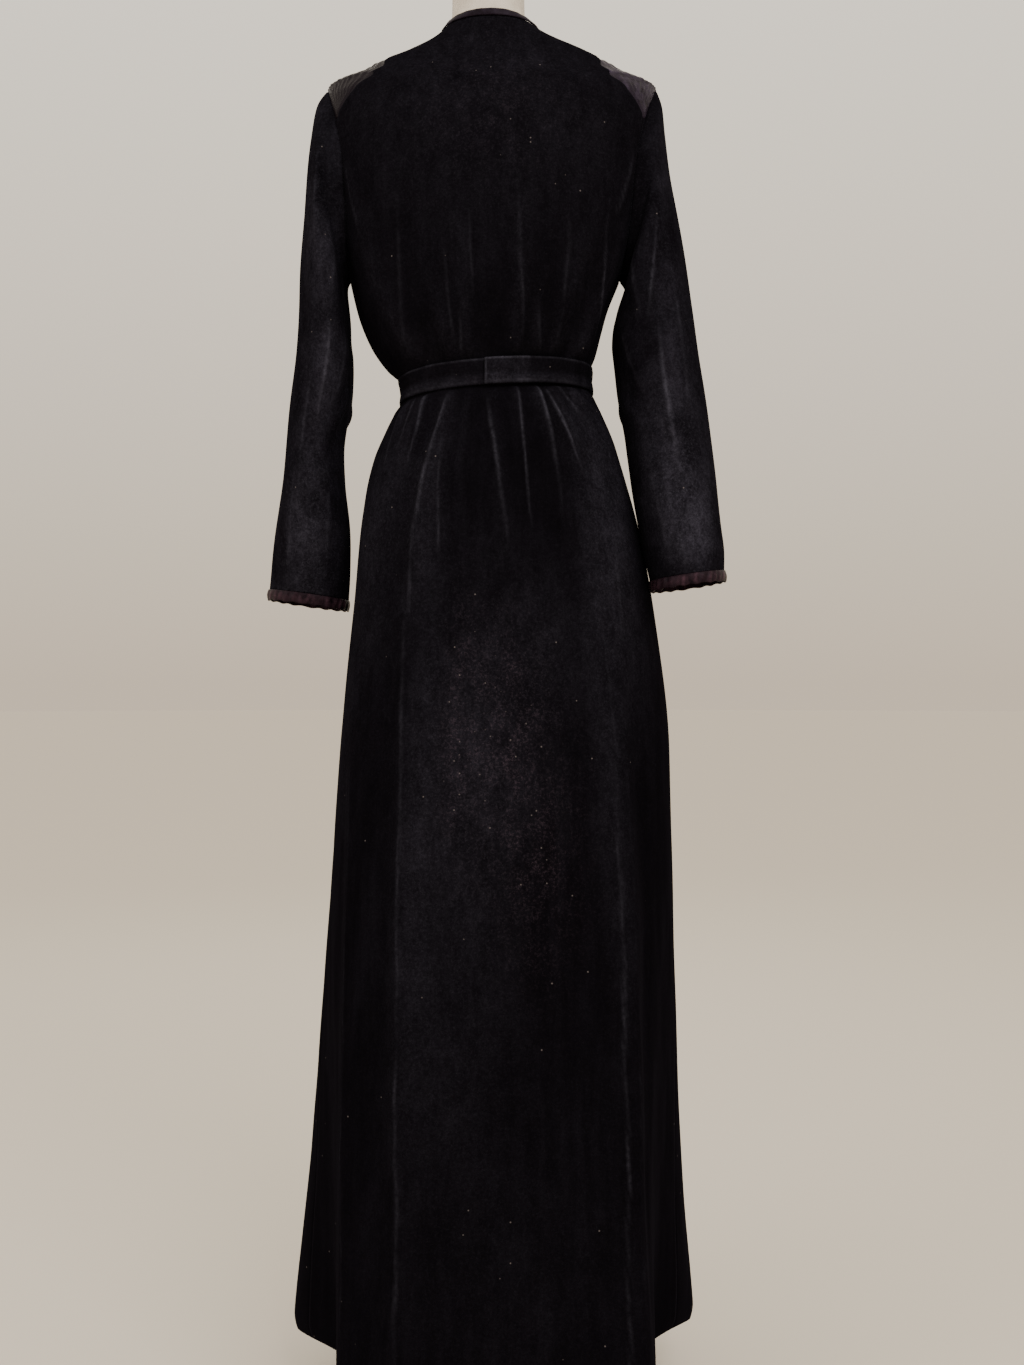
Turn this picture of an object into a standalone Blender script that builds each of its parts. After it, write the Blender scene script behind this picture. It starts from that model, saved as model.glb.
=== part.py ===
"""A long velvet robe with satin shoulder insets, worn by a limbless dress form on a round stand.

Metres, +Z up. The origin is on the floor, on the axis of the pole. The front of the robe faces -Y and the
wearer's left side is +X. Angles round the body are measured from the middle of the back (+Y) towards the
wearer's left (+X), so the middle of the front is at 180 degrees.
"""

import math

import bmesh
import bpy
import numpy as np

# Driving dimensions of the robe
WALL = 0.002                 # velvet, pile and backing together
SEAM_GAP = 0.0004            # between two sewn pieces
LAP_GAP = 0.0012             # between two layers that lie on each other
LAP_RAMP = 0.02              # length over which an upper layer rises
HEM = 0.042                  # height of the hem above the floor
HIP = 0.88                   # the rows of faces lie closer above it
NAPE = 1.547                 # height of the neckline at the back
UNDERARM = 1.2725
SHOULDER_TIP = 1.484
YOKE_FOOT = 1.437            # where the slanting yoke seam meets the armhole
YOKE_APEX = 1.521            # where it meets the shoulder line
ARMHOLE_WIDE = 0.055         # half of the armhole, from front to back
ARMHOLE_MIDDLE = (SHOULDER_TIP + UNDERARM) / 2
ARMHOLE_HALF = (SHOULDER_TIP - UNDERARM) / 2
SLEEVE_STEP = 0.0026         # the sleeve stands off the body by its own wall and a seam
BELT_HIGH = 0.0285
BELT_MIDDLE = 1.1516
BELT_TILT = -0.064           # rise of the belt's middle for each metre of X
BELT_MARGIN = 0.01           # from each edge of the belt to the gathers' nearest row
BELT_WALL = 0.0022
BELT_LIFT = 0.0012           # over the robe, which the belt draws in
BELT_UNDER_END = -26         # degrees: the end that lies underneath
BELT_OVER_END = 364.5        # the end that shows at the back, just left of the middle
BELT_CLIMB = (285, 325)      # where the outer layer rises over the under end
TILTED = (1.03, 1.11, 1.20, 1.2725)  # the tilt grows between the first two heights and fades after the third
FOLD_END = 0.005             # length over which a fold fades past its end
BINDING_DEEP = 0.0065        # neck binding
BINDING_WALL = 0.0018
BINDING_LIFT = 0.0012        # it stands a little off the form
BINDING_GAP = 0.0008         # its foot: the walls of the binding and the panels lean towards each other
CUFF_DEEP = 0.012
CUFF_WALL = 0.0022
RIB_COUNT = 8               # raised ribs on each yoke
RIB_FADE = 1.6               # how soon the ribs rise from the yoke's feet
YOKE_WALL = 0.0026           # at the top of a rib
YOKE_VALLEY = 0.5            # share of that wall left between two ribs
YOKE_LEDGE = 0.001           # height over which the panels step out round that foot
CUFF_GATHER = 0.0009
CUFF_GATHER_RUN = (0.15, 0.85)  # the gathers flatten towards the binding's edges
BINDING_FOOT = 1.463         # where the binding ends on the fronts

# Driving dimensions of the dress form and its stand
NECK_TOP = 1.618
FORM_FOOT = 0.885
POLE_RADIUS = 0.0125
FLANGE_RADIUS = 0.04
FLANGE_THICK = 0.006
BASE_RADIUS = 0.16
BASE_THICK = 0.012
BASE_EDGE = 0.002
HUB_RADIUS = 0.024
HUB_TOP = 0.05
POLE_GAP = 0.0003
NECK_CAP_PROFILE = ((0.0, 1.04), (0.004, 1.04), (0.0075, 0.90), (0.0085, 0.55))

# The body of the robe in sections: half widths and depths of its outer side, the power of the oval, and how
# far the dress form stays inside the cloth there. All heights are those at X = 0: near the waist the
# sections, the folds and the belt tilt together, down towards the wearer's left.
SECTION_COLUMNS = ("height", "left", "right", "back", "front", "power", "ease")
SECTIONS = (
    (0.042, 0.2170, 0.226, 0.190, 0.190, 2.0, 0.010),
    (0.250, 0.2075, 0.219, 0.178, 0.176, 2.0, 0.010),
    (0.460, 0.194, 0.212, 0.164, 0.160, 2.05, 0.010),
    (0.740, 0.171, 0.202, 0.140, 0.135, 2.15, 0.010),
    (0.910, 0.1545, 0.180, 0.122, 0.112, 2.25, 0.008),
    (1.000, 0.146, 0.162, 0.114, 0.106, 2.3, 0.005),
    (1.070, 0.130, 0.141, 0.104, 0.102, 2.3, 0.004),
    (1.107, 0.115, 0.124, 0.094, 0.096, 2.25, 0.003),
    (1.127, 0.105, 0.115, 0.088, 0.092, 2.2, 0.0025),
    (1.1373, 0.1015, 0.1115, 0.084, 0.089, 2.2, 0.0012),
    (1.1516, 0.1005, 0.110, 0.083, 0.088, 2.2, 0.0012),
    (1.1659, 0.1030, 0.111, 0.084, 0.089, 2.2, 0.0015),
    (1.178, 0.1165, 0.116, 0.088, 0.094, 2.2, 0.006),
    (1.206, 0.136, 0.1235, 0.096, 0.102, 2.25, 0.016),
    (1.240, 0.151, 0.132, 0.103, 0.113, 2.3, 0.016),
    (1.290, 0.163, 0.150, 0.108, 0.123, 2.4, 0.013),
    (1.350, 0.172, 0.166, 0.109, 0.126, 2.45, 0.008),
    (1.420, 0.181, 0.178, 0.103, 0.116, 2.45, 0.003),
    (1.465, 0.186, 0.185, 0.090, 0.102, 2.35, 0.0030),
    (1.484, 0.1855, 0.186, 0.077, 0.091, 2.15, 0.0030),
    (1.496, 0.156, 0.159, 0.070, 0.083, 2.1, 0.0028),
    (1.507, 0.138, 0.141, 0.065, 0.077, 2.1, 0.0024),
    (1.519, 0.107, 0.119, 0.0605, 0.071, 2.05, 0.0018),
    (1.532, 0.078, 0.085, 0.0575, 0.063, 2.05, 0.0021),
    (1.543, 0.0605, 0.0605, 0.0560, 0.056, 2.1, 0.0021),
    (1.552, 0.0525, 0.048, 0.055, 0.051, 2.1, 0.0016),
    (1.565, 0.0485, 0.0405, 0.049, 0.048, 2.1, 0.0014),
    (1.590, 0.048, 0.040, 0.046, 0.046, 2.1, 0.0014),
    (1.640, 0.048, 0.040, 0.046, 0.046, 2.1, 0.0014),
)

# Folds, gathers and drag lines: a soft ridge runs from its top to its foot. Angles and its half width are in
# degrees, rises in metres at the top, the middle and the foot; a negative rise is a hollow.
FOLD_COLUMNS = ("angle_top", "top", "angle_foot", "foot", "rise_top", "rise_middle", "rise_foot", "spread")
FOLDS = (
    # skirt, back: near right ridge, left ridge, second left ridge and the hollows between them
    (-48, 0.93, -43, 0.042, 0.000, 0.014, 0.034, 12),
    (31, 0.99, 26, 0.042, 0.001, 0.010, 0.022, 14),
    (58, 0.93, 46, 0.042, 0.000, 0.006, 0.011, 8),
    (-78, 0.90, -74, 0.042, 0.000, -0.013, -0.045, 18),
    (80, 0.88, 72, 0.042, 0.000, -0.011, -0.045, 17),
    (-5, 0.80, -8, 0.042, 0.000, -0.002, -0.006, 22),
    # skirt, far lobes at the sides
    (-108, 0.92, -112, 0.042, 0.000, 0.008, 0.034, 13),
    (106, 0.92, 108, 0.042, 0.000, 0.006, 0.030, 13),
    # skirt, front: hidden, like those behind
    (-150, 0.95, -146, 0.042, 0.000, 0.012, 0.026, 12),
    (148, 0.96, 142, 0.042, 0.000, 0.012, 0.028, 12),
    (-129, 0.90, -129, 0.042, 0.000, -0.008, -0.028, 10),
    (126, 0.90, 125, 0.042, 0.000, -0.008, -0.026, 10),
    # gathers under the belt, back, from the wearer's left to the right
    (78, 1.127, 78, 1.010, 0.0040, 0.0030, 0.0, 5.0),
    (62, 1.127, 58, 1.070, 0.0050, 0.0035, 0.0, 4.5),
    (48, 1.127, 52, 1.045, 0.0050, 0.0030, 0.0, 4.5),
    (27, 1.127, 40, 0.860, 0.0055, 0.0040, 0.0, 4.5),
    (14, 1.127, 20, 0.960, 0.0040, 0.0030, 0.0, 4.0),
    (-2, 1.127, -8, 0.930, 0.0040, 0.0025, 0.0, 4.5),
    (-17, 1.127, -20, 1.050, 0.0050, 0.0035, 0.0, 4.0),
    (-30, 1.127, -36, 1.055, 0.0055, 0.0040, 0.0, 4.0),
    (-42, 1.127, -50, 1.050, 0.0055, 0.0040, 0.0, 4.5),
    (-56, 1.127, -62, 1.085, 0.0050, 0.0030, 0.0, 4.5),
    (-72, 1.127, -72, 0.990, 0.0040, 0.0030, 0.0, 5.0),
    # gathers under the belt, front: hidden, like those behind
    (100, 1.127, 102, 1.040, 0.0045, 0.0030, 0.0, 5.0),
    (119, 1.127, 124, 0.980, 0.0050, 0.0035, 0.0, 5.0),
    (136, 1.127, 140, 1.050, 0.0050, 0.0035, 0.0, 4.5),
    (-98, 1.127, -99, 1.030, 0.0045, 0.0030, 0.0, 5.0),
    (-116, 1.127, -121, 0.990, 0.0050, 0.0035, 0.0, 5.0),
    (-134, 1.127, -138, 1.050, 0.0050, 0.0035, 0.0, 4.5),
    # drag lines of the bodice above the belt, back
    (66, 1.330, 52, 1.176, 0.0, 0.0040, 0.0050, 6.0),
    (34, 1.280, 28, 1.176, 0.0, 0.0035, 0.0045, 5.0),
    (17, 1.340, 15, 1.176, 0.0, 0.0035, 0.0045, 4.5),
    (-16, 1.360, -17, 1.176, 0.0, 0.0035, 0.0045, 4.5),
    (-26, 1.250, -30, 1.176, 0.0, 0.0030, 0.0050, 4.0),
    (-52, 1.350, -42, 1.176, 0.0, 0.0040, 0.0045, 5.5),
    (-74, 1.370, -62, 1.176, 0.0, 0.0040, 0.0050, 6.0),
    # drag lines of the bodice above the belt, front: hidden
    (112, 1.300, 118, 1.176, 0.0, 0.0035, 0.0045, 6.0),
    (134, 1.290, 140, 1.176, 0.0, 0.0035, 0.0045, 5.5),
    (-112, 1.300, -116, 1.176, 0.0, 0.0035, 0.0045, 6.0),
    (-134, 1.280, -138, 1.176, 0.0, 0.0035, 0.0045, 5.5),
)

# The hem hangs a little higher at the sides.
HEM_RISE_TOP = 0.30
HEM_COLUMNS = ("angle", "rise", "spread")
HEM_RISES = (
    (84, 0.040, 30),
    (-86, 0.050, 28),
)

# Edge of the left front, seen from the front: height and X. The right front is its mirror image.
FRONT_EDGE_COLUMNS = ("height", "x")
FRONT_EDGE = (
    (0.042, -0.062),
    (0.900, -0.058),
    (1.170, -0.052),
    (1.320, -0.036),
    (1.400, -0.016),
    (1.440, 0.000),
    (1.500, 0.026),
    (1.530, 0.037),
    (1.5475, 0.0455),
)

# The slanting yoke seam: height, and distance from the shoulder line to the back and to the front.
YOKE_SEAM_COLUMNS = ("height", "y")
YOKE_SEAM = (
    (YOKE_FOOT, 0.0505),
    (1.452, 0.0575),
    (1.465, 0.0620),
    (1.4765, 0.0620),
    (1.4850, 0.0575),
    (1.4935, 0.0500),
    (1.503, 0.0405),
    (1.512, 0.0285),
    (1.518, 0.0150),
    (YOKE_APEX, 0.000),
)
YOKE_LEVELS = [row[0] for row in YOKE_SEAM]

# Rings of the sleeves below the armhole: the point furthest from the body, the point nearest to it, half of
# the depth from front to back, and the middle of that depth.
SLEEVE_COLUMNS = ("outer_x", "outer_z", "inner_x", "inner_z", "half_depth", "middle_y")
LEFT_SLEEVE = (
    (0.1951, 1.466, 0.1645, 1.261, 0.0580, 0.000),
    (0.2013, 1.432, 0.1635, 1.243, 0.0620, 0.001),
    (0.2059, 1.390, 0.1612, 1.222, 0.0650, 0.001),
    (0.2087, 1.340, 0.1596, 1.200, 0.0650, 0.000),
    (0.2127, 1.285, 0.1576, 1.178, 0.0640, -0.002),
    (0.2149, 1.235, 0.1584, 1.156, 0.0620, -0.004),
    (0.2192, 1.188, 0.1609, 1.134, 0.0600, -0.006),
    (0.2265, 1.135, 0.1665, 1.110, 0.0580, -0.009),
    (0.2315, 1.090, 0.1701, 1.084, 0.0560, -0.012),
    (0.2373, 1.040, 0.1684, 1.046, 0.0550, -0.016),
    (0.2461, 0.985, 0.1632, 0.995, 0.0530, -0.021),
    (0.2514, 0.948, 0.1635, 0.950, 0.0490, -0.025),
    (0.2541, 0.926, 0.1660, 0.914, 0.0460, -0.027),
)
RIGHT_SLEEVE = (
    (0.1905, 1.466, 0.1520, 1.261, 0.0570, 0.000),
    (0.1934, 1.432, 0.1455, 1.243, 0.0600, 0.001),
    (0.1984, 1.390, 0.1380, 1.222, 0.0650, 0.002),
    (0.2071, 1.340, 0.1362, 1.200, 0.0650, 0.004),
    (0.2152, 1.290, 0.1380, 1.178, 0.0640, 0.007),
    (0.2225, 1.240, 0.1405, 1.152, 0.0620, 0.011),
    (0.2287, 1.192, 0.1440, 1.126, 0.0600, 0.015),
    (0.2356, 1.140, 0.1480, 1.098, 0.0580, 0.020),
    (0.2412, 1.090, 0.1510, 1.068, 0.0560, 0.025),
    (0.2470, 1.040, 0.1562, 1.030, 0.0540, 0.031),
    (0.2512, 0.995, 0.1645, 0.985, 0.0520, 0.036),
    (0.2545, 0.965, 0.1705, 0.953, 0.0500, 0.040),
    (0.2540, 0.942, 0.1750, 0.931, 0.0480, 0.042),
)

WELD = 0.00001               # points closer than this are one
RIM_REACH = 0.004            # a rim's points lie within this height of its end

# Numbers of faces
BACK_COLUMNS = 30
FRONT_COLUMNS = 14
SLEEVE_SIDES = 16
FORM_SIDES = 24
BELT_STEPS = 60
BINDING_BACK = 20
BINDING_FRONT = 5
ROWS_SKIRT = 6
ROWS_HIP = 5
ROWS_BODICE = 4
ROWS_CHEST = 5
ROWS_SHOULDER = 2
POLE_SIDES = 24
BASE_SIDES = 32

COLOURS = {
    "velvet": ((0.006, 0.005, 0.009, 1), 0.9, 0.0),
    "satin": ((0.030, 0.022, 0.036, 1), 0.4, 0.0),
    "linen": ((0.700, 0.640, 0.560, 1), 0.85, 0.0),
    "steel": ((0.350, 0.350, 0.360, 1), 0.35, 1.0),
}


def curve_value(table, height, column):
    """A smooth reading of one column of a table whose first column rises or falls steadily."""
    heights = [row[0] for row in table]
    if height <= heights[0]:
        return table[0][column]
    if height >= heights[-1]:
        return table[-1][column]
    low = max(i for i, level in enumerate(heights) if level <= height)
    low = min(low, len(table) - 2)
    step = heights[low + 1] - heights[low]

    def slope(index):
        if index == 0 or index == len(table) - 1:
            return 0.0
        before = (table[index][column] - table[index - 1][column]) / (heights[index] - heights[index - 1])
        after = (table[index + 1][column] - table[index][column]) / (heights[index + 1] - heights[index])
        if before * after <= 0:
            return 0.0
        return 2 * before * after / (before + after)

    t = (height - heights[low]) / step
    start, end = table[low][column], table[low + 1][column]
    return (
        (2 * t**3 - 3 * t**2 + 1) * start
        + (t**3 - 2 * t**2 + t) * step * slope(low)
        + (-2 * t**3 + 3 * t**2) * end
        + (t**3 - t**2) * step * slope(low + 1)
    )


def section(height):
    """The oval of the body at a height, by column name."""
    return {
        name: curve_value(SECTIONS, height, column)
        for column, name in enumerate(SECTION_COLUMNS)
        if column
    }


def radius(angle, height):
    """Distance from the pole's axis to the outer side of the smooth body."""
    oval = section(height)
    across, along = math.sin(angle), math.cos(angle)
    wide = oval["left"] if across > 0 else oval["right"]
    deep = oval["back"] if along > 0 else oval["front"]
    power = oval["power"]
    return (abs(across / wide) ** power + abs(along / deep) ** power) ** (-1 / power)


def fold_rise(angle, height):
    """How far folds, gathers and drag lines lift the cloth there."""
    rise = 0.0
    for fold in FOLDS:
        row = dict(zip(FOLD_COLUMNS, fold))
        along = (row["top"] - height) / (row["top"] - row["foot"])
        past = max(height - row["top"], row["foot"] - height, 0.0)
        fade = math.exp(-((past / FOLD_END) ** 2))
        along = max(0.0, min(1.0, along))
        middle_way = 4 * along * (1 - along)
        ends = (1 - along) * row["rise_top"] + along * row["rise_foot"]
        straight = (row["rise_top"] + row["rise_foot"]) / 2
        level = ends + middle_way * (row["rise_middle"] - straight)
        centre = row["angle_top"] + along * (row["angle_foot"] - row["angle_top"])
        away = (math.degrees(angle) - centre + 180) % 360 - 180
        rise += fade * level * math.exp(-((away / row["spread"]) ** 2))
    return rise


def soft_step(share):
    """0 below 0, 1 above 1 and a smooth rise between."""
    share = max(0.0, min(1.0, share))
    return share * share * (3 - 2 * share)


def hem_rise(angle, height):
    """How much higher the cloth hangs near the hem."""
    rise = 0.0
    for bump in HEM_RISES:
        row = dict(zip(HEM_COLUMNS, bump))
        away = (math.degrees(angle) - row["angle"] + 180) % 360 - 180
        rise += row["rise"] * math.exp(-((away / row["spread"]) ** 2))
    return rise * soft_step((HEM_RISE_TOP - height) / (HEM_RISE_TOP - HEM))


def smooth_point(angle, height):
    """A point of the smooth body."""
    reach = radius(angle, height)
    x = reach * math.sin(angle)
    grow = soft_step((height - TILTED[0]) / (TILTED[1] - TILTED[0]))
    fade = soft_step((TILTED[3] - height) / (TILTED[3] - TILTED[2]))
    rise = BELT_TILT * x * grow * fade + hem_rise(angle, height)
    return np.array((x, reach * math.cos(angle), height + rise))


def smooth_normal(angle, height):
    """The direction straight out of the smooth body."""
    turn, lift = 0.002, 0.0006
    round_way = smooth_point(angle + turn, height) - smooth_point(angle - turn, height)
    up_way = smooth_point(angle, height + lift) - smooth_point(angle, height - lift)
    out = np.cross(up_way, round_way)
    return out / np.linalg.norm(out)


def cloth_point(angle, height, lift=0.0):
    """A point of the inner side of the robe's cloth, moved out by a lift."""
    reach = fold_rise(angle, height) - WALL + lift
    return smooth_point(angle, height) + reach * smooth_normal(angle, height)


def side_x(side, y, height):
    """X of the smooth body at a place seen from the side."""
    oval = section(height)
    wide = oval["left"] if side > 0 else oval["right"]
    deep = oval["back"] if y > 0 else oval["front"]
    return side * wide * max(0.0, 1 - abs(y / deep) ** oval["power"]) ** (1 / oval["power"])


def angle_at(side, y, height):
    """Angle of a place on the body, seen from the side."""
    return math.atan2(side_x(side, y, height), y)


def armhole_y(height):
    """Half of the armhole's width at a height."""
    share = (height - ARMHOLE_MIDDLE) / ARMHOLE_HALF
    return ARMHOLE_WIDE * math.sqrt(max(0.0, 1 - share**2))


def yoke_y(height):
    """Distance of the slanting yoke seam from the shoulder line, seen from the side."""
    return curve_value(YOKE_SEAM, height, YOKE_SEAM_COLUMNS.index("y"))


def side_edge(side, facing, height):
    """Angle where a back (facing 1) or front (facing -1) panel ends towards one side."""
    seam = side * math.pi / 2
    if height <= UNDERARM or height >= YOKE_APEX:
        return seam
    y = armhole_y(height) if height < YOKE_FOOT - YOKE_LEDGE / 2 else yoke_y(height)
    return angle_at(side, facing * y, height)


def front_edge(side, height):
    """Angle where the front panel of one side ends at the lapped front."""
    x = side * curve_value(FRONT_EDGE, height, FRONT_EDGE_COLUMNS.index("x"))
    oval = section(height)
    wide = oval["left"] if x > 0 else oval["right"]
    share = min(1.0, abs(x) / wide)
    y = -oval["front"] * (1 - share ** oval["power"]) ** (1 / oval["power"])
    angle = math.atan2(x, y)
    if side > 0 and angle < 0:
        angle += 2 * math.pi
    if side < 0 and angle > 0:
        angle -= 2 * math.pi
    return angle


def levels(*stretches):
    """Heights of the rows: each stretch is its start, its end and its number of rows."""
    heights = []
    for start, end, count in stretches:
        heights += [start + (end - start) * step / count for step in range(count)]
    return heights + [stretches[-1][1]]


def armhole_levels():
    """Heights at even steps round the armhole, from the underarm to the yoke."""
    last = math.acos((ARMHOLE_MIDDLE - YOKE_FOOT + YOKE_LEDGE) / ARMHOLE_HALF)
    turns = [last * step / ROWS_CHEST for step in range(ROWS_CHEST)]
    return [ARMHOLE_MIDDLE - ARMHOLE_HALF * math.cos(turn) for turn in turns]


NECK_LEVELS = [1.550, 1.553, 1.557, 1.565, 1.590, NECK_TOP]
BELT_FOOT = BELT_MIDDLE - BELT_HIGH / 2
BELT_TOP = BELT_MIDDLE + BELT_HIGH / 2
PANEL_LEVELS = (
    levels((HEM, HIP, ROWS_SKIRT), (HIP, BELT_FOOT - BELT_MARGIN, ROWS_HIP))
    + [BELT_FOOT, BELT_MIDDLE, BELT_TOP]
    + levels((BELT_TOP + BELT_MARGIN, UNDERARM, ROWS_BODICE))[:-1]
    + armhole_levels()
    + [YOKE_FOOT - YOKE_LEDGE]
    + YOKE_LEVELS[:-1]
    + levels((YOKE_APEX, NAPE, ROWS_SHOULDER))
)
FORM_LEVELS = (
    [FORM_FOOT]
    + [height for height in PANEL_LEVELS if height > FORM_FOOT]
    + NECK_LEVELS
)


def material(name):
    colour, roughness, metallic = COLOURS[name]
    made = bpy.data.materials.get(name) or bpy.data.materials.new(name)
    made.use_nodes = True
    shader = made.node_tree.nodes["Principled BSDF"]
    shader.inputs["Base Color"].default_value = colour
    shader.inputs["Roughness"].default_value = roughness
    shader.inputs["Metallic"].default_value = metallic
    return made


def add_object(name, mesh, finish):
    piece = bpy.data.objects.new(name, mesh)
    robe_parts.objects.link(piece)
    mesh.materials.append(material(finish))
    mesh.shade_smooth()
    return piece


def sheet_mesh(name, columns, rows, place, closed=False):
    """An open surface from a grid, its points set by place(column, row), shares from 0 to 1."""
    form = bmesh.new()
    bmesh.ops.create_grid(form, x_segments=columns, y_segments=rows, size=0.5)
    for point in form.verts:
        column = round((point.co.x + 0.5) * columns)
        row = round((point.co.y + 0.5) * rows)
        point.co = place(column / columns, row / rows)
    if closed:
        bmesh.ops.remove_doubles(form, verts=form.verts, dist=WELD)
    mesh = bpy.data.meshes.new(name)
    form.to_mesh(mesh)
    form.free()
    return mesh


def add_wall(piece, thick, outward):
    """Gives an open sheet its thickness on the outer side: outward is 1 where its faces point out."""
    solid = piece.modifiers.new("wall", "SOLIDIFY")
    solid.thickness = thick
    solid.offset = outward
    return solid


def panel(name, columns, low_edge, high_edge, lift=None):
    """A velvet panel between two edges, each an angle for every height."""
    rows = len(PANEL_LEVELS) - 1

    def place(column, row):
        height = PANEL_LEVELS[round(row * rows)]
        reach = radius(low_edge(height), height)
        low = low_edge(height) + SEAM_GAP / 2 / reach
        high = high_edge(height) - SEAM_GAP / 2 / reach
        angle = low + (high - low) * column
        return cloth_point(angle, height, lift(angle, height) if lift else 0.0)

    piece = add_object(name, sheet_mesh(name, columns, rows, place), "velvet")
    add_wall(piece, WALL, -1)
    return piece


def yoke(side):
    """A satin crescent over the top of the armhole, ribbed on its outer side."""
    name = "yoke_left" if side > 0 else "yoke_right"
    columns, rows = 2 * RIB_COUNT, 2 * (len(YOKE_LEVELS) - 1)
    foot_turn = math.acos((YOKE_FOOT + SEAM_GAP - ARMHOLE_MIDDLE) / ARMHOLE_HALF)

    def place(column, row):
        turn = foot_turn * (1 - 2 * row)
        seam_height = YOKE_LEVELS[min(round(row * rows), rows - round(row * rows))]
        seam_y = yoke_y(seam_height) * (1 if turn > 0 else -1)
        seam_height = max(seam_height, YOKE_FOOT + SEAM_GAP)
        hole_y = ARMHOLE_WIDE * math.sin(turn)
        hole_height = ARMHOLE_MIDDLE + ARMHOLE_HALF * math.cos(turn)
        inset = SEAM_GAP / math.hypot(seam_y - hole_y, seam_height - hole_height)
        share = inset + (1 - 2 * inset) * column
        y = hole_y + (seam_y - hole_y) * share
        height = hole_height + (seam_height - hole_height) * share
        return cloth_point(angle_at(side, y, height), height)

    mesh = sheet_mesh(name, columns, rows, place)
    piece = add_object(name, mesh, "satin")
    ribs = piece.vertex_groups.new(name="ribs")
    for point in mesh.vertices:
        column = point.index % (columns + 1)
        row = point.index // (columns + 1)
        fade = soft_step(RIB_FADE * (1 - abs(1 - 2 * row / rows)))
        ribs.add([point.index], fade * (column % 2), "REPLACE")
    wall = add_wall(piece, YOKE_WALL, side)
    wall.vertex_group = "ribs"
    wall.thickness_vertex_group = YOKE_VALLEY
    return piece


def armhole_point(side, turn):
    """A point of the armhole, moved off the body; turn 0 is the shoulder tip."""
    y = ARMHOLE_WIDE * math.sin(turn) * side
    height = ARMHOLE_MIDDLE + ARMHOLE_HALF * math.cos(turn)
    return np.array((side_x(side, y, height) + side * SLEEVE_STEP, y, height))


def sleeve_point(side, ring, turn):
    """A point of one ring of a sleeve; ring 0 is the armhole."""
    if ring == 0:
        return armhole_point(side, turn)
    table = LEFT_SLEEVE if side > 0 else RIGHT_SLEEVE
    row = dict(zip(SLEEVE_COLUMNS, table[ring - 1]))
    outer = np.array((side * row["outer_x"], row["middle_y"], row["outer_z"]))
    inner = np.array((side * row["inner_x"], row["middle_y"], row["inner_z"]))
    depth = np.array((0.0, side * row["half_depth"], 0.0))
    return (outer + inner) / 2 + (outer - inner) / 2 * math.cos(turn) + depth * math.sin(turn)


def sleeve(side):
    """A velvet sleeve from the armhole to the binding."""
    name = "sleeve_left" if side > 0 else "sleeve_right"
    rings = len(LEFT_SLEEVE)

    def place(column, row):
        return sleeve_point(side, round(row * rings), 2 * math.pi * column)

    piece = add_object(name, sheet_mesh(name, SLEEVE_SIDES, rings, place, True), "velvet")
    add_wall(piece, WALL, -1)
    return piece


def cuff_binding(side):
    """A satin binding on the end of a sleeve, in small gathers."""
    name = "cuff_binding_left" if side > 0 else "cuff_binding_right"
    rings = len(LEFT_SLEEVE)
    sides = 2 * SLEEVE_SIDES
    end = [sleeve_point(side, rings, 2 * math.pi * step / sides) for step in range(sides)]
    before = [sleeve_point(side, rings - 1, 2 * math.pi * step / sides) for step in range(sides)]
    centre = sum(end) / sides
    way = centre - sum(before) / sides
    way /= np.linalg.norm(way)

    def place(column, row):
        step = round(column * sides)
        on_edge = end[step % sides]
        out = on_edge - centre
        out /= np.linalg.norm(out)
        run = CUFF_GATHER_RUN[0] + (CUFF_GATHER_RUN[1] - CUFF_GATHER_RUN[0]) * row
        gather = CUFF_GATHER * (step % 2) * math.sin(math.pi * run)
        return on_edge + way * (SEAM_GAP + CUFF_DEEP * row) + out * gather

    piece = add_object(name, sheet_mesh(name, sides, 2, place, True), "satin")
    add_wall(piece, CUFF_WALL, -1)
    return piece


def neckline():
    """Places along the neckline, from the wearer's left front round the back to the right front."""
    drop = [BINDING_FOOT + (NAPE - BINDING_FOOT) * step / BINDING_FRONT for step in range(BINDING_FRONT)]
    left = [(front_edge(1, height), height) for height in drop]
    start, end = front_edge(1, NAPE), front_edge(-1, NAPE)
    back = [(start + (end - start) * step / BINDING_BACK, NAPE) for step in range(BINDING_BACK + 1)]
    right = [(front_edge(-1, height), height) for height in reversed(drop)]
    return left + back + right


def neck_binding():
    """A narrow satin binding that carries the neckline on over the form."""
    path = neckline()
    spots = [cloth_point(*spot) for spot in path]
    turn, lift = 0.01, 0.001

    def place(column, row):
        step = round(column * (len(path) - 1))
        angle, height = path[step]
        ahead = spots[min(step + 1, len(path) - 1)] - spots[max(step - 1, 0)]
        ahead /= np.linalg.norm(ahead)
        out = smooth_normal(angle, height)
        inward = np.cross(out, ahead)
        turn_way = (cloth_point(angle + turn, height) - cloth_point(angle, height)) / turn
        rise_way = (cloth_point(angle, height + lift) - cloth_point(angle, height)) / lift
        reach = (BINDING_GAP + BINDING_DEEP * row) * inward
        shift = np.linalg.lstsq(np.column_stack((turn_way, rise_way)), reach, rcond=None)[0]
        return cloth_point(angle + shift[0], height + shift[1], BINDING_LIFT)

    piece = add_object("neck_binding", sheet_mesh("neck_binding", len(path) - 1, 2, place), "satin")
    add_wall(piece, BINDING_WALL, 1)
    return piece


def over_lap(angle):
    """Share of the lapped fronts' extra height under the belt."""
    ramp = LAP_RAMP / radius(math.pi, BELT_MIDDLE)
    start = 2 * math.pi + front_edge(-1, BELT_MIDDLE)
    end = front_edge(1, BELT_MIDDLE) + 3 * ramp
    return soft_step((angle - start) / ramp + 1) * soft_step((end - angle) / ramp)


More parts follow.
